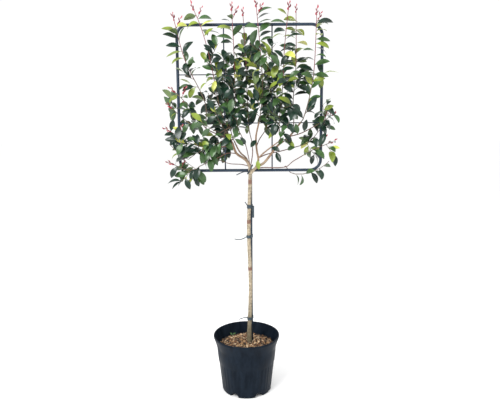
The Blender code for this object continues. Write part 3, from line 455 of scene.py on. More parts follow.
def mottle_group():
    """A shader group: two colours mixed by a stretched noise, and the noise as a height."""
    tree = bpy.data.node_groups.new("mottle", "ShaderNodeTree")
    for name, kind, value in (("Light", "NodeSocketColor", (0.5, 0.5, 0.5, 1)),
                              ("Dark", "NodeSocketColor", (0.1, 0.1, 0.1, 1)),
                              ("Scale", "NodeSocketFloat", 60.0),
                              ("Stretch", "NodeSocketFloat", 1.0)):
        socket = tree.interface.new_socket(name=name, in_out="INPUT", socket_type=kind)
        socket.default_value = value
    for name, kind in (("Color", "NodeSocketColor"), ("Height", "NodeSocketFloat")):
        tree.interface.new_socket(name=name, in_out="OUTPUT", socket_type=kind)
    given = add_node(tree, "NodeGroupInput", {}).outputs
    place = add_node(tree, "ShaderNodeTexCoord", {}).outputs["Object"]
    shape = add_node(tree, "ShaderNodeCombineXYZ", {"X": 1.0, "Y": 1.0, "Z": given["Stretch"]})
    stretched = add_node(tree, "ShaderNodeVectorMath", {0: place, 1: shape.outputs[0]},
                         operation="MULTIPLY")
    grain = add_node(tree, "ShaderNodeTexNoise", {
        "Vector": stretched.outputs[0], "Scale": given["Scale"], "Detail": 5.0,
        "Roughness": 0.62})
    height = faded(tree, grain.outputs[0], 0.36, 0.64)
    colour = mixed(tree, height, given["Dark"], given["Light"])
    add_node(tree, "NodeGroupOutput", {"Color": colour, "Height": height})
    return tree


def surface(name, roughness, specular):
    """A new material and its Principled shader."""
    made = bpy.data.materials.new(name)
    made.use_nodes = True
    shader = made.node_tree.nodes["Principled BSDF"]
    give(made.node_tree, shader, {"Roughness": roughness, "Specular IOR Level": specular})
    return made, shader


def mottled(name, light, dark, finish):
    """A material mottled between two colours with a matching fine relief."""
    made, shader = surface(name, finish.roughness, finish.specular)
    tree = made.node_tree
    group = add_node(tree, "ShaderNodeGroup", {
        "Light": (*light, 1), "Dark": (*dark, 1), "Scale": finish.grain,
        "Stretch": finish.stretch},
        node_tree=bpy.data.node_groups.get("mottle") or mottle_group())
    relief = add_node(tree, "ShaderNodeBump", {
        "Strength": finish.bump, "Distance": finish.depth, "Height": group.outputs["Height"]})
    give(tree, shader, {"Base Color": group.outputs["Color"],
                        "Normal": relief.outputs["Normal"]})
    return made, group, shader


def add_object(name, data):
    made = bpy.data.objects.new(name, data)
    bpy.context.scene.collection.objects.link(made)
    return made


def mesh_object(name, mesh, material):
    """Turn a bmesh into an object of one material."""
    data = bpy.data.meshes.new(name)
    mesh.to_mesh(data)
    mesh.free()
    data.materials.append(material)
    return add_object(name, data)


def finish_piece(name, mesh, material, replaces=(), smooth=True, open_sheets=False):
    """Turn a bmesh into a finished piece that rides on the plant."""
    if not open_sheets:
        bmesh.ops.recalc_face_normals(mesh, faces=mesh.faces)
    piece = mesh_object(name, mesh, material)
    if smooth:
        piece.data.shade_smooth()
    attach(piece, "root")
    if replaces:
        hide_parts(*replaces)


def nodes_called(*starts):
    """The frame's nodes whose names begin with any of the given words."""
    return sorted(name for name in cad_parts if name.startswith(starts))


def ramp(value, start, end):
    return min(1.0, max(0.0, (value - start) / (end - start)))


def smooth_route(places, step):
    """Points along a smooth curve through the given places."""
    knots = [Vector(place) for place in places]
    knots = [2 * knots[0] - knots[1]] + knots + [2 * knots[-1] - knots[-2]]
    route = [knots[1]]
    for before, start, end, after in zip(knots, knots[1:], knots[2:], knots[3:]):
        reach = (end - start).length / 3
        leave = start + (end - before).normalized() * reach
        arrive = end - (after - start).normalized() * reach
        count = max(2, round(3 * reach / step) + 1)
        route += geometry.interpolate_bezier(start, leave, arrive, end, count)[1:]
    return route


def frames_along(route):
    """A frame for each point of a route: Z along the route, Y near the world's, no twist."""
    frames = []
    heading = (route[1] - route[0]).normalized()
    side = Vector((0, 1, 0)).cross(heading)
    if side.length < 0.2:
        side = heading.orthogonal()
    side.normalize()
    turn = Matrix((side, heading.cross(side), heading)).transposed().to_quaternion()
    for index, point in enumerate(route):
        before = route[max(index - 1, 0)]
        after = route[min(index + 1, len(route) - 1)]
        new_heading = (after - before).normalized()
        turn = heading.rotation_difference(new_heading) @ turn
        heading = new_heading
        frames.append(Matrix.Translation(point) @ turn.to_matrix().to_4x4())
    return frames


def sweep(mesh, route, radii, sides):
    """Carry a round section along a route and close both ends."""
    sections = [place @ Matrix.Diagonal((-radius, -radius, 1.0, 1.0))
                for place, radius in zip(frames_along(route), radii)]
    made = bmesh.ops.create_circle(mesh, cap_ends=True, segments=sides, radius=1.0,
                                   matrix=sections[0])
    first_edges = list({edge for vert in made["verts"] for edge in vert.link_edges})
    end = made["verts"][0].link_faces[0]
    for here, there in zip(sections, sections[1:]):
        end = bmesh.ops.extrude_discrete_faces(mesh, faces=[end])["faces"][0]
        bmesh.ops.transform(mesh, matrix=there @ here.inverted(), verts=end.verts)
    bmesh.ops.contextual_create(mesh, geom=first_edges)


def swept_loop(mesh, places, section):
    """Carry a closed section round a closed path of frames."""
    rings = []
    for place in places:
        ring = [mesh.verts.new(place @ Vector(corner)) for corner in section]
        rings.append([mesh.edges.new(pair) for pair in zip(ring, ring[1:] + ring[:1])])
    for ring, following in zip(rings, rings[1:] + rings[:1]):
        bmesh.ops.bridge_loops(mesh, edges=ring + following)


def tapered(route, start_radius, tip_radius):
    last = len(route) - 1
    return [start_radius + (tip_radius - start_radius) * index / last
            for index in range(last + 1)]


def tree_of(mesh):
    found = BVHTree.FromBMesh(mesh)
    mesh.free()
    return found


def pot_outer_radius(height):
    share = height / POT_NECK_HEIGHT
    return POT_BASE_RADIUS + (POT_NECK_RADIUS - POT_BASE_RADIUS) * share


def notch_rise(angle):
    """How far the underside is raised at an angle: one notch between each two feet."""
    place = (angle * NOTCHES / math.tau + 0.5 * NOTCHES) % 1.0
    from_notch = abs(place - 0.5) * 360 / NOTCHES
    return NOTCH_HEIGHT * (1.0 - ramp(from_notch, 7.0, 10.5))


def pot_profile():
    """Radius and height of each ring, from the underside's middle round to the inside."""
    outer = [(0.0, 0.0), (0.06, 0.0), (NOTCH_INNER_RADIUS - 0.003, 0.0),
             (NOTCH_INNER_RADIUS, 0.0), (0.103, 0.0), (POT_BASE_RADIUS - 0.004, 0.0),
             (POT_BASE_RADIUS - 0.0015, 0.0012)]
    outer += [(pot_outer_radius(height), height) for height in
              (0.004, 0.008, 0.013, 0.018, 0.022, 0.027, 0.032, 0.036, 0.06, 0.09, 0.12,
               FLUTE_TOP - 0.010, FLUTE_TOP - 0.006, FLUTE_TOP - 0.002, FLUTE_TOP)]
    outer += [(pot_outer_radius(0.146) + 0.0012, 0.146),
              (pot_outer_radius(0.19) + 0.001, 0.19), (POT_NECK_RADIUS, POT_NECK_HEIGHT - 0.004),
              (POT_NECK_RADIUS + 0.0008, POT_NECK_HEIGHT), (0.1420, 0.219), (0.1450, 0.229),
              (0.1485, 0.240), (0.1515, 0.249), (0.1535, 0.2545), (0.1546, 0.2575),
              (POT_RIM_RADIUS, 0.2605), (POT_RIM_RADIUS, 0.2640),
              (POT_RIM_RADIUS - 0.0008, 0.2661), (POT_RIM_RADIUS - 0.0022, POT_HEIGHT)]
    inner = [(POT_RIM_RADIUS - INNER_STEP, POT_HEIGHT - 0.0006),
             (POT_RIM_RADIUS - 0.0044, 0.2645), (0.1495, 0.2590), (0.1437, 0.240),
             (POT_NECK_RADIUS - INNER_STEP, POT_NECK_HEIGHT),
             (pot_outer_radius(FLUTE_TOP) - INNER_STEP, FLUTE_TOP),
             (pot_outer_radius(0.024) - INNER_STEP, 0.024), (0.1095, FLOOR_THICKNESS),
             (NOTCH_INNER_RADIUS, FLOOR_THICKNESS), (0.06, FLOOR_THICKNESS),
             (0.0, FLOOR_THICKNESS)]
    return outer + inner


def pot_mesh(ribs, rib_depth):
    """The spun pot with pressed ribs and raised notches."""
    mesh = bmesh.new()
    verts = [mesh.verts.new((radius, 0.0, height)) for radius, height in pot_profile()]
    edges = [mesh.edges.new(pair) for pair in zip(verts, verts[1:])]
    bmesh.ops.spin(mesh, geom=verts + edges, cent=(0, 0, 0), axis=(0, 0, 1),
                   angle=math.tau, steps=POT_STATIONS, use_merge=True)
    bmesh.ops.remove_doubles(mesh, verts=mesh.verts, dist=SPUN_SEAM)
    for vert in mesh.verts:
        radius = vert.co.xy.length
        height = vert.co.z
        angle = math.atan2(vert.co.x, -vert.co.y)
        outside = radius > pot_outer_radius(height) - POT_WALL / 2
        if outside and 0.03 < height < FLUTE_TOP - 0.004:
            wave = 0.5 - 0.5 * math.cos(angle * ribs)
            vert.co.xy *= (radius - rib_depth * (0.25 + 0.75 * wave ** 2)) / radius
        share = ramp(radius, NOTCH_INNER_RADIUS - 0.003, NOTCH_INNER_RADIUS - 0.001)
        share *= 1.0 - ramp(height, 0.0055, 0.022)
        vert.co.z += notch_rise(angle) * share
    return mesh


class ESPALIER_OT_pot(bpy.types.Operator):
    """Make the moulded plastic pot"""

    bl_idname = "espalier.pot"
    bl_label = "Pot"

    def execute(self, context):
        settings = context.scene.espalier_pot
        colour = tuple(settings.plastic)
        dusty = tuple(value + POT_DUST for value in shaded(colour, 1.7))
        plastic, group, shader = mottled("pot_plastic", dusty, colour, PLASTIC)
        tree = plastic.node_tree
        worn = faded(tree, group.outputs["Height"], 0.0, 1.0, 0.30, 0.52)
        give(tree, shader, {"Roughness": worn})
        mesh = pot_mesh(settings.ribs, settings.rib_depth)
        finish_piece("pot_shell", mesh, plastic, ["pot"])
        return {"FINISHED"}


def mound_height(radius):
    """Height of the soil's top at a distance from the middle."""
    return SOIL_TOP - SOIL_FALL * ramp(radius, SOIL_FLAT_RADIUS, SOIL_EDGE_RADIUS) ** 1.25


class ESPALIER_OT_mulch(bpy.types.Operator):
    """Cover the soil with bark chips"""

    bl_idname = "espalier.mulch"
    bl_label = "Mulch"

    def execute(self, context):
        chance = random.Random(41)
        soil, _, _ = mottled("potting_mix", (0.085, 0.050, 0.028), (0.016, 0.010, 0.007), SOIL)
        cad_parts["soil"].data.materials.clear()
        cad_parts["soil"].data.materials.append(soil)
        meshes = {name: bmesh.new() for name in CHIPS}
        for _ in range(context.scene.espalier_pot.chips):
            radius = MULCH_RADIUS * math.sqrt(chance.random())
            angle = chance.uniform(0, math.tau)
            x, y = radius * math.cos(angle), radius * math.sin(angle)
            if math.hypot(x - TRUNK_FOOT_X, y) < CHIP_GAP_AT_TRUNK:
                continue
            if math.hypot(x - FRAME_X, y - FRAME_Y) < CHIP_GAP_AT_POST:
                continue
            # Painted shade under the rim: towards the pot wall more near-black chips and fewer
            # pale ones are drawn
            edge = ramp(radius, RIM_SHADE_START, MULCH_RADIUS - 0.001)
            weights = (3.2 - 2.4 * edge, 2.6 - 1.3 * edge, 2.5 - 2 * edge, 3.2 + 5 * edge)
            name = chance.choices(list(CHIPS), weights)[0]
            length = chance.uniform(*CHIP_LENGTH)
            size = Matrix.Diagonal((length, length * chance.uniform(*CHIP_BREADTH),
                                    chance.uniform(*CHIP_THICKNESS), 1))
            tilt = (Matrix.Rotation(chance.uniform(0, math.tau), 4, "Z")
                    @ Matrix.Rotation(chance.gauss(0, 0.45), 4, "X")
                    @ Matrix.Rotation(chance.gauss(0, 0.35), 4, "Y"))
            height = mound_height(radius) + chance.uniform(0.0, CHIP_RISE)
            made = bmesh.ops.create_cube(meshes[name], size=1.0, matrix=Matrix.Translation(
                (x, y, height)) @ tilt @ size)
            for vert in made["verts"]:
                vert.co += Vector([chance.uniform(-CHIP_RAGGEDNESS, CHIP_RAGGEDNESS)
                                   for _ in range(3)])
        for name, (light, dark) in CHIPS.items():
            bark, _, _ = mottled(name, light, dark, CHIP)
            finish_piece(name, meshes[name], bark, smooth=False)
        return {"FINISHED"}


def trunk_share(height):
    return (height - SOIL_TOP) / (TRUNK_TOP - SOIL_TOP)


def trunk_axis(height):
    lean = TRUNK_LEAN * trunk_share(height)
    bend = math.cos(math.tau * (height - SOIL_TOP) / TRUNK_SWAY_LENGTH)
    return Vector((TRUNK_FOOT_X + lean - TRUNK_SWAY * bend, 0.0, height))


def trunk_radius(height):
    even = TRUNK_RADIUS + (TRUNK_TOP_RADIUS - TRUNK_RADIUS) * trunk_share(height)
    flare = ROOT_FLARE * math.exp(-(height - SOIL_TOP) / ROOT_FLARE_HEIGHT)
    rounding = 1.0 - 0.45 * ramp(height, TRUNK_TOP - 0.008, TRUNK_TOP) ** 2
    return (even + flare) * rounding


def trunk_mesh(mesh, sides, step, grow=0.0):
    count = round((TRUNK_TOP - SOIL_TOP - GAP) / step)
    heights = [SOIL_TOP + GAP + (TRUNK_TOP - SOIL_TOP - GAP) * index / count
               for index in range(count + 1)]
    radii = []
    for height in heights:
        swell = sum(SCAR_SWELL * math.exp(-((height - scar) / half) ** 2) for scar, half in SCARS)
        radii.append(trunk_radius(height) + swell * (grow == 0) + grow)
    sweep(mesh, [trunk_axis(height) for height in heights], radii, sides)


def add_relief(mesh, amount):
    """Push a bark surface in and out by noise: long furrows, rings and knots."""
    mesh.normal_update()
    moves = []
    for vert in mesh.verts:
        place = vert.co
        furrow = noise.noise(place * Vector((FINE_GRAIN, FINE_GRAIN, LONG_GRAIN)))
        ring = noise.noise(place * Vector((LONG_GRAIN, LONG_GRAIN, FINE_GRAIN)))
        knot = noise.noise(place * KNOT_GRAIN)
        moves.append((vert, vert.normal * amount * (furrow + 0.6 * ring + 1.2 * knot)))
    for vert, move in moves:
        vert.co += move


def banded_bark(light, dark, base, scar, high):
    """Bark whose colour changes up the trunk, with red-brown scars at their heights."""
    bark, group, shader = mottled("trunk_bark", light, dark, OLD_BARK)
    tree = bark.node_tree
    place = add_node(tree, "ShaderNodeTexCoord", {}).outputs["Object"]
    height = add_node(tree, "ShaderNodeSeparateXYZ", {0: place}).outputs["Z"]
    low_part = faded(tree, height, 0.24, 0.47, 0.85, 0.0)
    high_part = faded(tree, height, 1.03, 1.11, 0.0, 0.85)
    colour = mixed(tree, low_part, group.outputs["Color"], (*base, 1))
    colour = mixed(tree, high_part, colour, (*high, 1))
    for middle, half in SCARS:
        above = add_node(tree, "ShaderNodeMath", {0: height, 1: middle}, operation="SUBTRACT")
        apart = add_node(tree, "ShaderNodeMath", {0: above.outputs[0]}, operation="ABSOLUTE")
        near = faded(tree, apart.outputs[0], half * 1.15, half * 0.75, 0.0, 0.85)
        colour = mixed(tree, near, colour, (*scar, 1))
    give(tree, shader, {"Base Color": colour})
    return bark


class ESPALIER_OT_bark(bpy.types.Operator):
    """Make the trunk and the boughs with their bark relief"""

    bl_idname = "espalier.bark"
    bl_label = "Trunk and boughs"

    def execute(self, context):
        light = tuple(context.scene.espalier_plant.bark)
        bark = banded_bark(light, shaded(light, 0.33), (0.105, 0.090, 0.045),
                           (0.15, 0.060, 0.042), (0.22, 0.125, 0.075))
        trunk = bmesh.new()
        trunk_mesh(trunk, 26, 0.004)
        add_relief(trunk, TRUNK_RELIEF)
        finish_piece("trunk_bark", trunk, bark, ["trunk"])
        young, _, _ = mottled("young_bark", (0.17, 0.075, 0.055), (0.07, 0.032, 0.025),
                              YOUNG_BARK)
        thick = [limb for limb in LIMBS if limb.start_radius > THICK_BOUGH]
        thin = [limb for limb in LIMBS if limb.start_radius <= THICK_BOUGH]
        for name, limbs, sides, material, slot in (
                ("boughs", thick, 16, bark, "bark"),
                ("young_boughs", thin, 10, young, "young_bark")):
            mesh = bmesh.new()
            for limb in limbs:
                route = smooth_route(limb.places, LIMB_STEP)
                sweep(mesh, route, tapered(route, limb.start_radius, limb.tip_radius), sides)
            add_relief(mesh, BOUGH_RELIEF)
            finish_piece(name, mesh, material, [limb.name for limb in limbs])
        return {"FINISHED"}


def corner_arc(centre_x, centre_z, start, end, steps):
    for index in range(steps + 1):
        angle = math.radians(start + (end - start) * index / steps)
        yield Vector((centre_x + FRAME_CORNER_RADIUS * math.cos(angle), FRAME_Y,
                      centre_z + FRAME_CORNER_RADIUS * math.sin(angle)))


def square_route(steps):
    """Points round the square's middle line, with its four bends."""
    half = FRAME_SIDE / 2
    inset = half - FRAME_CORNER_RADIUS
    centre = Vector((FRAME_X, 0, FRAME_BOTTOM + half))
    route = []
    for x, z, start in ((inset, inset, 90), (inset, -inset, 0), (-inset, -inset, -90),
                        (-inset, inset, -180)):
        route += [point + centre for point in corner_arc(x, z, start, start - 90, steps)]
    return route


def bar_ends(short):
    """Both ends and the radius of each thin bar, short of the tubes' middles."""
    half = FRAME_SIDE / 2
    middle = FRAME_BOTTOM + half
    reach = half - short
    offset = (UPRIGHT_RADIUS + CROSSBAR_RADIUS + GAP) / 2
    for side in (-1, 1):
        x = FRAME_X + BAR_SHIFT + side * BAR_PITCH / 2
        y = FRAME_Y + offset
        yield [Vector((x, y, middle - reach)), Vector((x, y, middle + reach))], UPRIGHT_RADIUS
    for side in (-1, 1):
        z = middle + side * BAR_PITCH / 2
        y = FRAME_Y - offset
        yield ([Vector((FRAME_X - reach, y, z)), Vector((FRAME_X + reach, y, z))],
               CROSSBAR_RADIUS)


def round_section(radius, sides):
    return [(radius * math.cos(math.tau * side / sides),
             radius * math.sin(math.tau * side / sides), 0) for side in range(sides)]


def loop_frames(path, back=None):
    """Frames along a closed path. Where a back direction is given, it is the Y of each."""
    places = []
    for before, here, after in zip(path[-1:] + path[:-1], path, path[1:] + path[:1]):
        turn = (after - before).to_track_quat("Z", "Y").to_matrix()
        if back is not None:
            heading = (after - before).normalized()
            turn = Matrix((back.cross(heading), back, heading)).transposed()
        place = turn.to_4x4()
        place.translation = here
        places.append(place)
    return places


class ESPALIER_OT_frame(bpy.types.Operator):
    """Make the painted steel frame with its bars and leg"""

    bl_idname = "espalier.frame"
    bl_label = "Frame"

    def execute(self, context):
        colour = tuple(context.scene.espalier_frame.paint)
        paint, _, _ = mottled("frame_paint", shaded(colour, 1.35), colour, PAINT)
        square = bmesh.new()
        places = loop_frames(square_route(10), Vector((0, 1, 0)))
        swept_loop(square, places, round_section(FRAME_TUBE_RADIUS, 24))
        finish_piece("frame_square", square, paint,
                     ["frame_top", "frame_right", "frame_bottom", "frame_left"])
        bars = bmesh.new()
        for ends, radius in bar_ends(TUBE_WELD):
            sweep(bars, ends, [radius] * 2, 14)
        finish_piece("frame_bars", bars, paint,
                     nodes_called("frame_upright", "frame_crossbar"))
        leg = bmesh.new()
        foot = Vector((FRAME_X, FRAME_Y, SOIL_TOP - POST_DEPTH_IN_SOIL))
        head = Vector((FRAME_X, FRAME_Y, FRAME_BOTTOM - TUBE_WELD))
        sweep(leg, [foot, head], [POST_RADIUS] * 2, 24)
        finish_piece("frame_leg", leg, paint, ["frame_post"])
        return {"FINISHED"}


def belt_path(height, clearance, steps):
    """Frames round the trunk and the post together, like a belt on two wheels."""
    first = trunk_axis(height)
    second = Vector((FRAME_X, FRAME_Y, height))
    first_radius = trunk_radius(height) + clearance
    second_radius = POST_RADIUS + clearance
    apart = second - first
    facing = math.atan2(apart.y, apart.x)
    lean = math.acos((first_radius - second_radius) / apart.length)
    path = []
    for centre, radius, start, sweep_angle in (
            (second, second_radius, facing - lean, 2 * lean),
            (first, first_radius, facing + lean, math.tau - 2 * lean)):
        for index in range(steps + 1):
            angle = start + sweep_angle * index / steps
            place = Matrix.Rotation(angle, 4, "Z")
            place.translation = centre + Vector((math.cos(angle), math.sin(angle), 0)) * radius
            path.append(place)
    return path


def add_belt(mesh, height, width):
    """A strap with raised edges."""
    half_t, half_w = TIE_THICKNESS / 2, width / 2
    outside = [(0.6, -1.0), (1.3, -0.84), (0.7, -0.55), (0.7, 0.55), (1.3, 0.84), (0.6, 1.0)]
    section = [(half_t * out, 0, half_w * up)
               for out, up in [(-1.0, -1.0)] + outside + [(-1.0, 1.0)]]
    swept_loop(mesh, belt_path(height, GAP * 3 + half_t, 24), section)


def fork_tie_path():
    """A slanted loop round the trunk's top and the frame's bottom tube."""
    middle = trunk_axis(FORK_TIE_HEIGHT)
    ring = trunk_radius(FORK_TIE_HEIGHT) + CORD_RADIUS + 0.0005
    back = FRAME_Y + FRAME_TUBE_RADIUS + CORD_RADIUS + 0.0007 - ring
    path = []
    for index in range(FORK_TIE_POINTS):
        angle = math.tau * index / FORK_TIE_POINTS
        x = ring * math.cos(angle)
        y = ring * math.sin(angle) + (back if math.sin(angle) > 0 else 0.0)
        path.append(Vector((middle.x + x, y, middle.z + FORK_TIE_SLOPE * x)))
    return path


def add_cord(mesh, places, radius):
    route = smooth_route(places, 0.004)
    sweep(mesh, route, tapered(route, radius, radius * 0.85), 10)


class ESPALIER_OT_ties(bpy.types.Operator):
    """Make the straps on the stem and the cord that lashes the fork"""

    bl_idname = "espalier.ties"
    bl_label = "Ties"

    def execute(self, context):
        colour = tuple(context.scene.espalier_frame.tie)
        rubber, _, _ = mottled("tie_rubber", shaded(colour, 3.5), colour, RUBBER)
        straps = bmesh.new()
        for height, width in STRAPS:
            add_belt(straps, height, width)
        made = bmesh.ops.create_cube(straps, size=1.0, matrix=Matrix.Translation(
            STRAP_END) @ Matrix.Diagonal((*STRAP_END_SIZE, 1)))
        edges = list({edge for vert in made["verts"] for edge in vert.link_edges})
        bmesh.ops.bevel(straps, geom=edges, offset=0.0005, segments=2, profile=0.5,
                        affect="EDGES", material=-1)
        for places in STRAP_TAILS:
            add_cord(straps, places, TAIL_RADIUS)
        finish_piece("stem_ties", straps, rubber,
                     ["tie_upper", "tie_middle", "tie_lower"])
        path = fork_tie_path()
        cord = bmesh.new()
        swept_loop(cord, loop_frames(path), round_section(CORD_RADIUS, 12))
        add_cord(cord, [path[FORK_TAIL_POINT], (-0.008, 0.030, 1.0325), (-0.040, 0.022, 1.0195)],
                 FORK_TAIL_RADIUS)
        finish_piece("fork_tie", cord, rubber, ["tie_fork"])
        return {"FINISHED"}


def along(route, distance):
    for start, end in zip(route, route[1:]):
        stretch = (end - start).length
        if distance <= stretch:
            break
        distance -= stretch
    return start.lerp(end, min(distance / stretch, 1.0))


def route_length(route):
    return sum((end - start).length for start, end in zip(route, route[1:]))


class Twig:
    """A stem along a route."""

    def __init__(self, route, start_radius, tip_radius, kind):
        self.route = route
        self.radii = tapered(route, start_radius, tip_radius)
        self.frames = frames_along(route)
        self.length = route_length(route)
        self.kind = kind

    def mesh(self):
        made = bmesh.new()
        sweep(made, self.route, self.radii, 3)
        return made

    def leaving(self, distance, degrees, rise):
        """A point on the axis and a heading that leaves it, at an angle round the twig."""
        passed = 0.0
        for start, end, place in zip(self.route, self.route[1:], self.frames):
            passed += (end - start).length
            if passed >= distance:
                break
        angle = math.radians(degrees)
        out = place.to_3x3() @ Vector((math.cos(angle), math.sin(angle), 0))
        heading = (end - start).normalized()
        return along(self.route, distance), out * math.cos(rise) + heading * math.sin(rise)


def leaf_corners(leaf):
    """Six corners that stand for a leaf when room is looked for."""
    across = leaf.heading.cross(leaf.face).normalized()
    up = across.cross(leaf.heading).normalized()
    half = leaf.length / 2
    width = leaf.length * LEAF_WIDTH / 2
    middle = leaf.root + leaf.heading * half
    tip = middle + Matrix.Rotation(-leaf.arch, 3, across) @ leaf.heading * half
    return [leaf.root - up * 0.0005, leaf.root + up * 0.0005, middle - across * width,
            middle + across * width, middle + up * 0.0016, tip]


LEAF_FACES = [(0, 1, 2), (1, 0, 3), (2, 1, 4), (4, 1, 3), (2, 4, 5), (5, 4, 3), (0, 2, 5),
              (0, 5, 3)]


class Crown:
    """The room that each mass has, and what its twigs and leaves must stay clear of."""

    def __init__(self):
        self.limbs = {limb.name: limb for limb in LIMBS}
        self.hard = self.hard_things()
        self.leaders = {mass.name: self.leader_routes(mass) for mass in MASSES}
        self.nearest = {name: self.search_tree(routes)
                        for name, routes in self.leaders.items()}

    def hard_things(self):
        """Search trees of the limbs and the frame, each grown by a little air."""
        things = []
        trunk = bmesh.new()
        trunk_mesh(trunk, 10, 0.06, grow=AIR)
        things.append(tree_of(trunk))
        rods = [(smooth_route(limb.places, ROUGH_STEP), limb.start_radius) for limb in LIMBS]
        rods += [(square_route(4) + square_route(4)[:1], FRAME_TUBE_RADIUS)]
        rods += list(bar_ends(0.0))
        for route, radius in rods:
            shape = bmesh.new()
            sweep(shape, route, [radius + AIR] * len(route), 8)
            things.append(tree_of(shape))
        return things

    def leader_routes(self, mass):
        bough = smooth_route(self.limbs[mass.limb].places, ROUGH_STEP)
        heading = (bough[-1] - bough[-2]).normalized()
        start = bough[-1] - heading * 0.002
        first = [start, start + heading * 0.017] + mass.leaders[0].places
        routes = [smooth_route(first, LEADER_STEP)]
        for leader in mass.leaders[1:]:
            fork = along(routes[0], leader.forks_at * route_length(routes[0]))
            routes.append(smooth_route([fork] + leader.places, LEADER_STEP))
        return routes

    def stretched(self, point):
        return Vector((point.x, point.y * DEPTH_STRETCH, point.z))

    def search_tree(self, routes):
        points = []
        for route in routes:
            length = route_length(route)
            steps = int(length / 0.006) + 1
            points += [along(route, length * step / steps) for step in range(steps + 1)]
        tree = kdtree.KDTree(len(points))
        for index, point in enumerate(points):
            tree.insert(self.stretched(point), index)
        tree.balance()
        return tree

    def in_space(self, point, mass_name):
        if not (CROWN_LEFT < point.x < CROWN_RIGHT and CROWN_FRONT < point.y < CROWN_BACK
                and CROWN_FOOT < point.z < CROWN_TOP):
            return False
        for x, z, half_width, half_height in SKY:
            if ((point.x - x) / half_width) ** 2 + ((point.z - z) / half_height) ** 2 < 1:
                return False
        place = self.stretched(point)
        own = self.nearest[mass_name].find(place)[2] + SPACE_MARGIN * DEPTH_STRETCH
        return all(tree.find(place)[2] > own for name, tree in self.nearest.items()
                   if name != mass_name)

    def clear(self, tree, others):
        return not any(thing.overlap(tree) for thing in (*self.hard, *others))


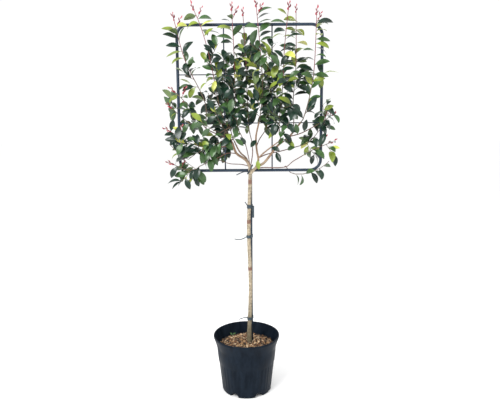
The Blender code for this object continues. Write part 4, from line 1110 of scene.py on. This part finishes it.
class Growth:
    """The twigs and leaves of one mass."""

    def __init__(self, crown, mass):
        self.crown = crown
        self.name = mass.name
        self.chance = random.Random(mass.seed)
        self.twigs = []
        self.twig_trees = []
        self.leaves = []
        self.leaf_trees = []
        for leader, route in zip(mass.leaders, crown.leaders[mass.name]):
            self.add_leader(leader, route)

    def add_twig(self, twig):
        self.twigs.append(twig)
        self.twig_trees.append(tree_of(twig.mesh()))

    def add_leader(self, leader, route):
        """A long shoot with leafy spurs on its lower part, leaves, and side tips."""
        tall = route[-1].z > TALL
        shoot = Twig(route, STEM_RADIUS, SHOOT_TIP_RADIUS, "tall" if tall else "low")
        self.add_twig(shoot)
        for index in range(leader.spurs):
            share = (index + self.chance.uniform(0.1, 0.9)) / leader.spurs
            self.add_spur(shoot, 0.012 + shoot.length * leader.dense_to * share)
        bare = BARE_TIP if tall else 0.012
        spacing = TOP_LEAF_SPACING if tall else SHOOT_LEAF_SPACING
        self.add_leaves(shoot, 0.02, shoot.length - bare, spacing)
        if tall or leader.tips:
            self.add_buds(shoot.route[-1], shoot.frames[-1].col[2].xyz)
        self.add_tips(leader.tips, shoot)

    def add_spur(self, shoot, distance):
        for _ in range(TRIES):
            side = self.chance.choice(TWIG_SIDES)
            base, direction = shoot.leaving(
                distance, side + self.chance.uniform(-SIDE_SPREAD, SIDE_SPREAD),
                self.chance.uniform(0.1, 0.8))
            length = self.chance.uniform(*SPUR_LENGTH)
            tip = base + direction * length + Vector((0, 0, SPUR_LIFT * length))
            route = smooth_route([base, base + direction * length * 0.5, tip], SPUR_STEP)
            if not all(self.crown.in_space(point, self.name) for point in route[1:]):
                continue
            spur = Twig(route, SPUR_RADIUS, SPUR_TIP_RADIUS, "spur")
            if not self.crown.clear(tree_of(spur.mesh()), self.leaf_trees):
                continue
            self.add_twig(spur)
            self.add_leaves(spur, 0.014, length - 0.004, SPUR_LEAF_SPACING)
            self.add_end_leaf(spur)
            return

    def add_leaves(self, twig, first, last, spacing):
        turn = self.chance.randrange(3)
        distance = first
        while distance < last:
            for attempt in range(TRIES):
                side = TWIG_SIDES[(turn + attempt) % 3]
                root, direction = twig.leaving(
                    distance, side + self.chance.uniform(-SIDE_SPREAD, SIDE_SPREAD),
                    self.chance.uniform(0.0, 0.8))
                if self.try_leaf(twig, root, direction):
                    break
            turn += attempt + 1
            distance += spacing * self.chance.uniform(0.8, 1.2)

    def add_end_leaf(self, twig):
        for attempt in range(TRIES):
            rise = math.pi / 2 - 0.12 * attempt
            root, direction = twig.leaving(twig.length - 0.002, 137 * attempt, rise)
            if self.try_leaf(twig, root, direction):
                return

    def tone(self, root):
        """Old leaves are dark, and young ones near the tops are brighter."""
        young = max(ramp(root.z, *YOUNG_HEIGHTS),
                    ramp(abs(root.x - FRAME_X), *YOUNG_SIDES) * 0.5)
        weights = [old + change * young for old, change in TONE_WEIGHTS.values()]
        return self.chance.choices(list(TONE_WEIGHTS), weights)[0]

    def try_leaf(self, twig, root, direction):
        front = -1 if direction.y < 0.6 else 1
        high = ramp(root.z, *UPRIGHT_HEIGHTS)
        turned = self.chance.uniform(*LEAF_TURN) * (1.0 - 0.40 * high)
        face = Vector((self.chance.uniform(*LEAF_TILT), front * (0.12 + turned), 1.0))
        length = self.chance.uniform(*LEAF_LENGTH) * (1.0 + 0.12 * high)
        leaf = Leaf(root, direction, face, length, self.chance.uniform(*LEAF_ARCH),
                    self.tone(root))
        corners = leaf_corners(leaf)
        left, right, top, tip = corners[2:]
        checked = (left, right, top, tip, (left + tip) / 2, (right + tip) / 2)
        if not all(self.crown.in_space(corner, self.name) for corner in checked):
            return False
        tree = BVHTree.FromPolygons(corners, LEAF_FACES)
        others = [other for other, owner in zip(self.twig_trees, self.twigs)
                  if owner is not twig]
        if not self.crown.clear(tree, others + self.leaf_trees):
            return False
        self.leaves.append(leaf)
        self.leaf_trees.append(tree)
        return True

    def add_tips(self, count, shoot):
        for index in range(count):
            side = -1 if index % 2 else 1
            base = along(shoot.route, shoot.length - TIP_START + TIP_SPACING * index)
            tip = base + Vector((TIP_REACH * side, -0.003, TIP_RISE))
            bend = base.lerp(tip, 0.5) + Vector((0.002 * side, 0, -0.002))
            self.add_twig(Twig([base, bend, tip], SPUR_RADIUS, SPUR_TIP_RADIUS, "tip"))
            self.add_buds(tip, (tip - base).normalized())

    def add_buds(self, point, heading):
        """Small folded red leaves at the end of a shoot, each below the last."""
        for index in range(BUDS):
            angle = 137.5 * index
            side = Matrix.Rotation(math.radians(angle), 3, heading) @ heading.orthogonal()
            spread = 0.12 + 0.10 * index
            direction = (heading + side.normalized() * spread).normalized()
            root = point - heading * (0.002 + BUD_SPACING * index)
            length = self.chance.uniform(*BUD_LENGTH)
            tip = root + direction * length
            if tip.z < CROWN_TOP + 0.006:
                self.leaves.append(Leaf(root, direction, side, length, -0.2, "red"))


def add_leaf_mesh(mesh, leaf, chance):
    """One leaf: a narrow stalk, then an oval blade folded on its rib and arched over."""
    across = leaf.heading.cross(leaf.face).normalized()
    up = across.cross(leaf.heading).normalized()
    small = leaf.tone == "red"
    made = bmesh.ops.create_grid(mesh, x_segments=2 if small else 4,
                                 y_segments=3 if small else 8, size=0.5)
    half_width = leaf.length * (0.26 if small else LEAF_WIDTH / 2)
    fold = 0.9 if small else chance.uniform(0.10, 0.34)
    arch = leaf.arch * 1.15 if abs(leaf.arch) > 0.05 else 0.05
    wave = chance.uniform(0.0, 0.05)
    phase = chance.uniform(0, math.tau)
    for vert in made["verts"]:
        share = vert.co.y + 0.5
        over = vert.co.x * 2
        blade = ramp(share, STALK, 1.0)
        width = THINNEST
        if 0 < blade < 1:
            oval = math.sin(math.pi * blade ** 0.92) ** 0.78
            width = max(half_width * oval, THINNEST)
        turn = arch * share
        lift = fold * abs(over) * width
        lift += wave * width * math.sin(phase + share * 11) * abs(over)
        place = leaf.heading * (leaf.length * math.sin(turn) / arch)
        place -= up * (leaf.length * (1 - math.cos(turn)) / arch)
        local_up = up * math.cos(turn) + leaf.heading * math.sin(turn)
        vert.co = leaf.root + place + across * (over * width) + local_up * lift


def small_sprigs():
    """The single leaves on the boughs, and the seedling in the mulch."""
    for root, heading, length, tone in LONE_LEAVES:
        yield Leaf(Vector(root), Vector(heading).normalized(), Vector((-0.2, -1.0, 0.4)),
                   length, 0.4, tone)
    foot = Vector((-0.070, 0.098, 0.2165))
    for angle in (20, 140, 260):
        out = Matrix.Rotation(math.radians(angle), 3, "Z") @ Vector((0.75, 0, 0.66))
        yield Leaf(foot, out, Vector((0.0, -0.4, 1.0)), 0.021, 0.6, "mid")


def leaf_material(name, colour, underside, roughness):
    """A glossy leaf with a paler underside."""
    made, group, shader = mottled(name, shaded(colour, 1.35), shaded(colour, 0.62),
                                  BLADE._replace(roughness=roughness))
    tree = made.node_tree
    below = add_node(tree, "ShaderNodeNewGeometry", {}).outputs["Backfacing"]
    give(tree, shader, {
        "Base Color": mixed(tree, below, group.outputs["Color"], (*underside, 1)),
        "Coat Weight": 0.10, "Coat Roughness": 0.18})
    return made


class ESPALIER_OT_foliage(bpy.types.Operator):
    """Grow the shoots, spurs and leaves of every mass"""

    bl_idname = "espalier.foliage"
    bl_label = "Foliage"

    def execute(self, context):
        settings = context.scene.espalier_plant
        crown = Crown()
        tones = {name: bmesh.new() for name in LEAF_TONES}
        stems = {"green": bmesh.new(), "red": bmesh.new()}
        chance = random.Random(5)
        for leaf in small_sprigs():
            add_leaf_mesh(tones[leaf.tone], leaf, chance)
        for mass in MASSES:
            growth = Growth(crown, mass)
            for leaf in growth.leaves:
                add_leaf_mesh(tones[leaf.tone], leaf, chance)
            for twig in growth.twigs:
                self.add_stem(stems, twig)
            crown.hard += growth.leaf_trees
        for name, (underside, roughness) in LEAF_TONES.items():
            colour = tuple(getattr(settings, "leaf_" + name))
            material = leaf_material("leaf_" + name, colour, underside, roughness)
            finish_piece("leaves_" + name, tones[name], material,
                         open_sheets=True)
        young, _, _ = mottled("shoot_green", (0.15, 0.095, 0.055), (0.065, 0.040, 0.027),
                              GREEN_STEM)
        fresh, _, _ = mottled("shoot_red", (0.24, 0.045, 0.060), (0.14, 0.022, 0.032), RED_STEM)
        finish_piece("shoots", stems["green"], young, nodes_called("foliage_"))
        finish_piece("shoots_fresh", stems["red"], fresh)
        return {"FINISHED"}

    def add_stem(self, stems, twig):
        """Old wood is brown, and the upper part of a top shoot is red."""
        if twig.kind == "tip":
            sweep(stems["red"], twig.route, twig.radii, 6)
        elif twig.kind == "tall":
            split = round(len(twig.route) * 0.45)
            sweep(stems["green"], twig.route[:split + 1], twig.radii[:split + 1], 8)
            sweep(stems["red"], twig.route[split:], twig.radii[split:], 8)
        else:
            sweep(stems["green"], twig.route, twig.radii, 6)


class ESPALIER_OT_stage(bpy.types.Operator):
    """Set the floor, the soft lights and the camera"""

    bl_idname = "espalier.stage"
    bl_label = "Stage"

    def execute(self, context):
        scene = context.scene
        floor = bmesh.new()
        bmesh.ops.create_grid(floor, x_segments=1, y_segments=1, size=FLOOR_SIZE)
        pale, shader = surface("pale_floor", 0.9, 0.1)
        give(pale.node_tree, shader, {"Base Color": (0.97, 0.97, 0.97, 1)})
        mesh_object("floor", floor, pale)
        world = bpy.data.worlds.new("studio")
        world.use_nodes = True
        give(world.node_tree, world.node_tree.nodes["Background"],
             {"Color": (1, 1, 1, 1), "Strength": 1.04})
        scene.world = world
        for name, place, size, power in LIGHTS:
            light = bpy.data.lights.new(name, "AREA")
            light.energy = power
            light.size = size
            lamp = add_object(name, light)
            lamp.location = place
            aim = Vector((0.0, 0.0, 1.0)) - Vector(place)
            lamp.rotation_euler = aim.to_track_quat("-Z", "Y").to_euler()
        lens = bpy.data.cameras.new("view")
        lens.sensor_width = SENSOR
        lens.lens = LENS
        camera = add_object("view", lens)
        forward = Vector((0, math.cos(CAMERA_PITCH), -math.sin(CAMERA_PITCH)))
        level = Vector((1, 0, 0))
        up = level.cross(forward)
        right = level * math.cos(CAMERA_ROLL) + up * math.sin(CAMERA_ROLL)
        top = up * math.cos(CAMERA_ROLL) - level * math.sin(CAMERA_ROLL)
        placed = Matrix((right, top, -forward)).transposed().to_4x4()
        placed.translation = CAMERA_PLACE
        camera.matrix_world = placed
        scene.camera = camera
        scene.view_settings.view_transform = "Standard"
        return {"FINISHED"}


class ESPALIER_PT_panel(bpy.types.Panel):
    """Lists the pieces in the sidebar"""

    bl_label = "Espalier"
    bl_idname = "ESPALIER_PT_panel"
    bl_space_type = "VIEW_3D"
    bl_region_type = "UI"
    bl_category = "Espalier"

    def draw(self, context):
        layout = self.layout
        for settings in (context.scene.espalier_pot, context.scene.espalier_frame,
                         context.scene.espalier_plant):
            box = layout.box()
            for name in settings.__annotations__:
                box.prop(settings, name)
        for operator in OPERATORS:
            layout.operator(operator.bl_idname)


OPERATORS = (ESPALIER_OT_pot, ESPALIER_OT_mulch, ESPALIER_OT_bark, ESPALIER_OT_frame,
             ESPALIER_OT_ties, ESPALIER_OT_foliage, ESPALIER_OT_stage)
SETTINGS = {"espalier_pot": EspalierPotSettings, "espalier_frame": EspalierFrameSettings,
            "espalier_plant": EspalierPlantSettings}


def register():
    for name, group in SETTINGS.items():
        bpy.utils.register_class(group)
        setattr(bpy.types.Scene, name, PointerProperty(type=group))
    for each in (*OPERATORS, ESPALIER_PT_panel):
        bpy.utils.register_class(each)


def unregister():
    for each in reversed((*OPERATORS, ESPALIER_PT_panel)):
        bpy.utils.unregister_class(each)
    for name, group in SETTINGS.items():
        delattr(bpy.types.Scene, name)
        bpy.utils.unregister_class(group)


def main():
    register()
    bpy.ops.espalier.pot()
    bpy.ops.espalier.mulch()
    bpy.ops.espalier.bark()
    bpy.ops.espalier.frame()
    bpy.ops.espalier.ties()
    bpy.ops.espalier.foliage()
    bpy.ops.espalier.stage()


if __name__ == "__main__":
    main()
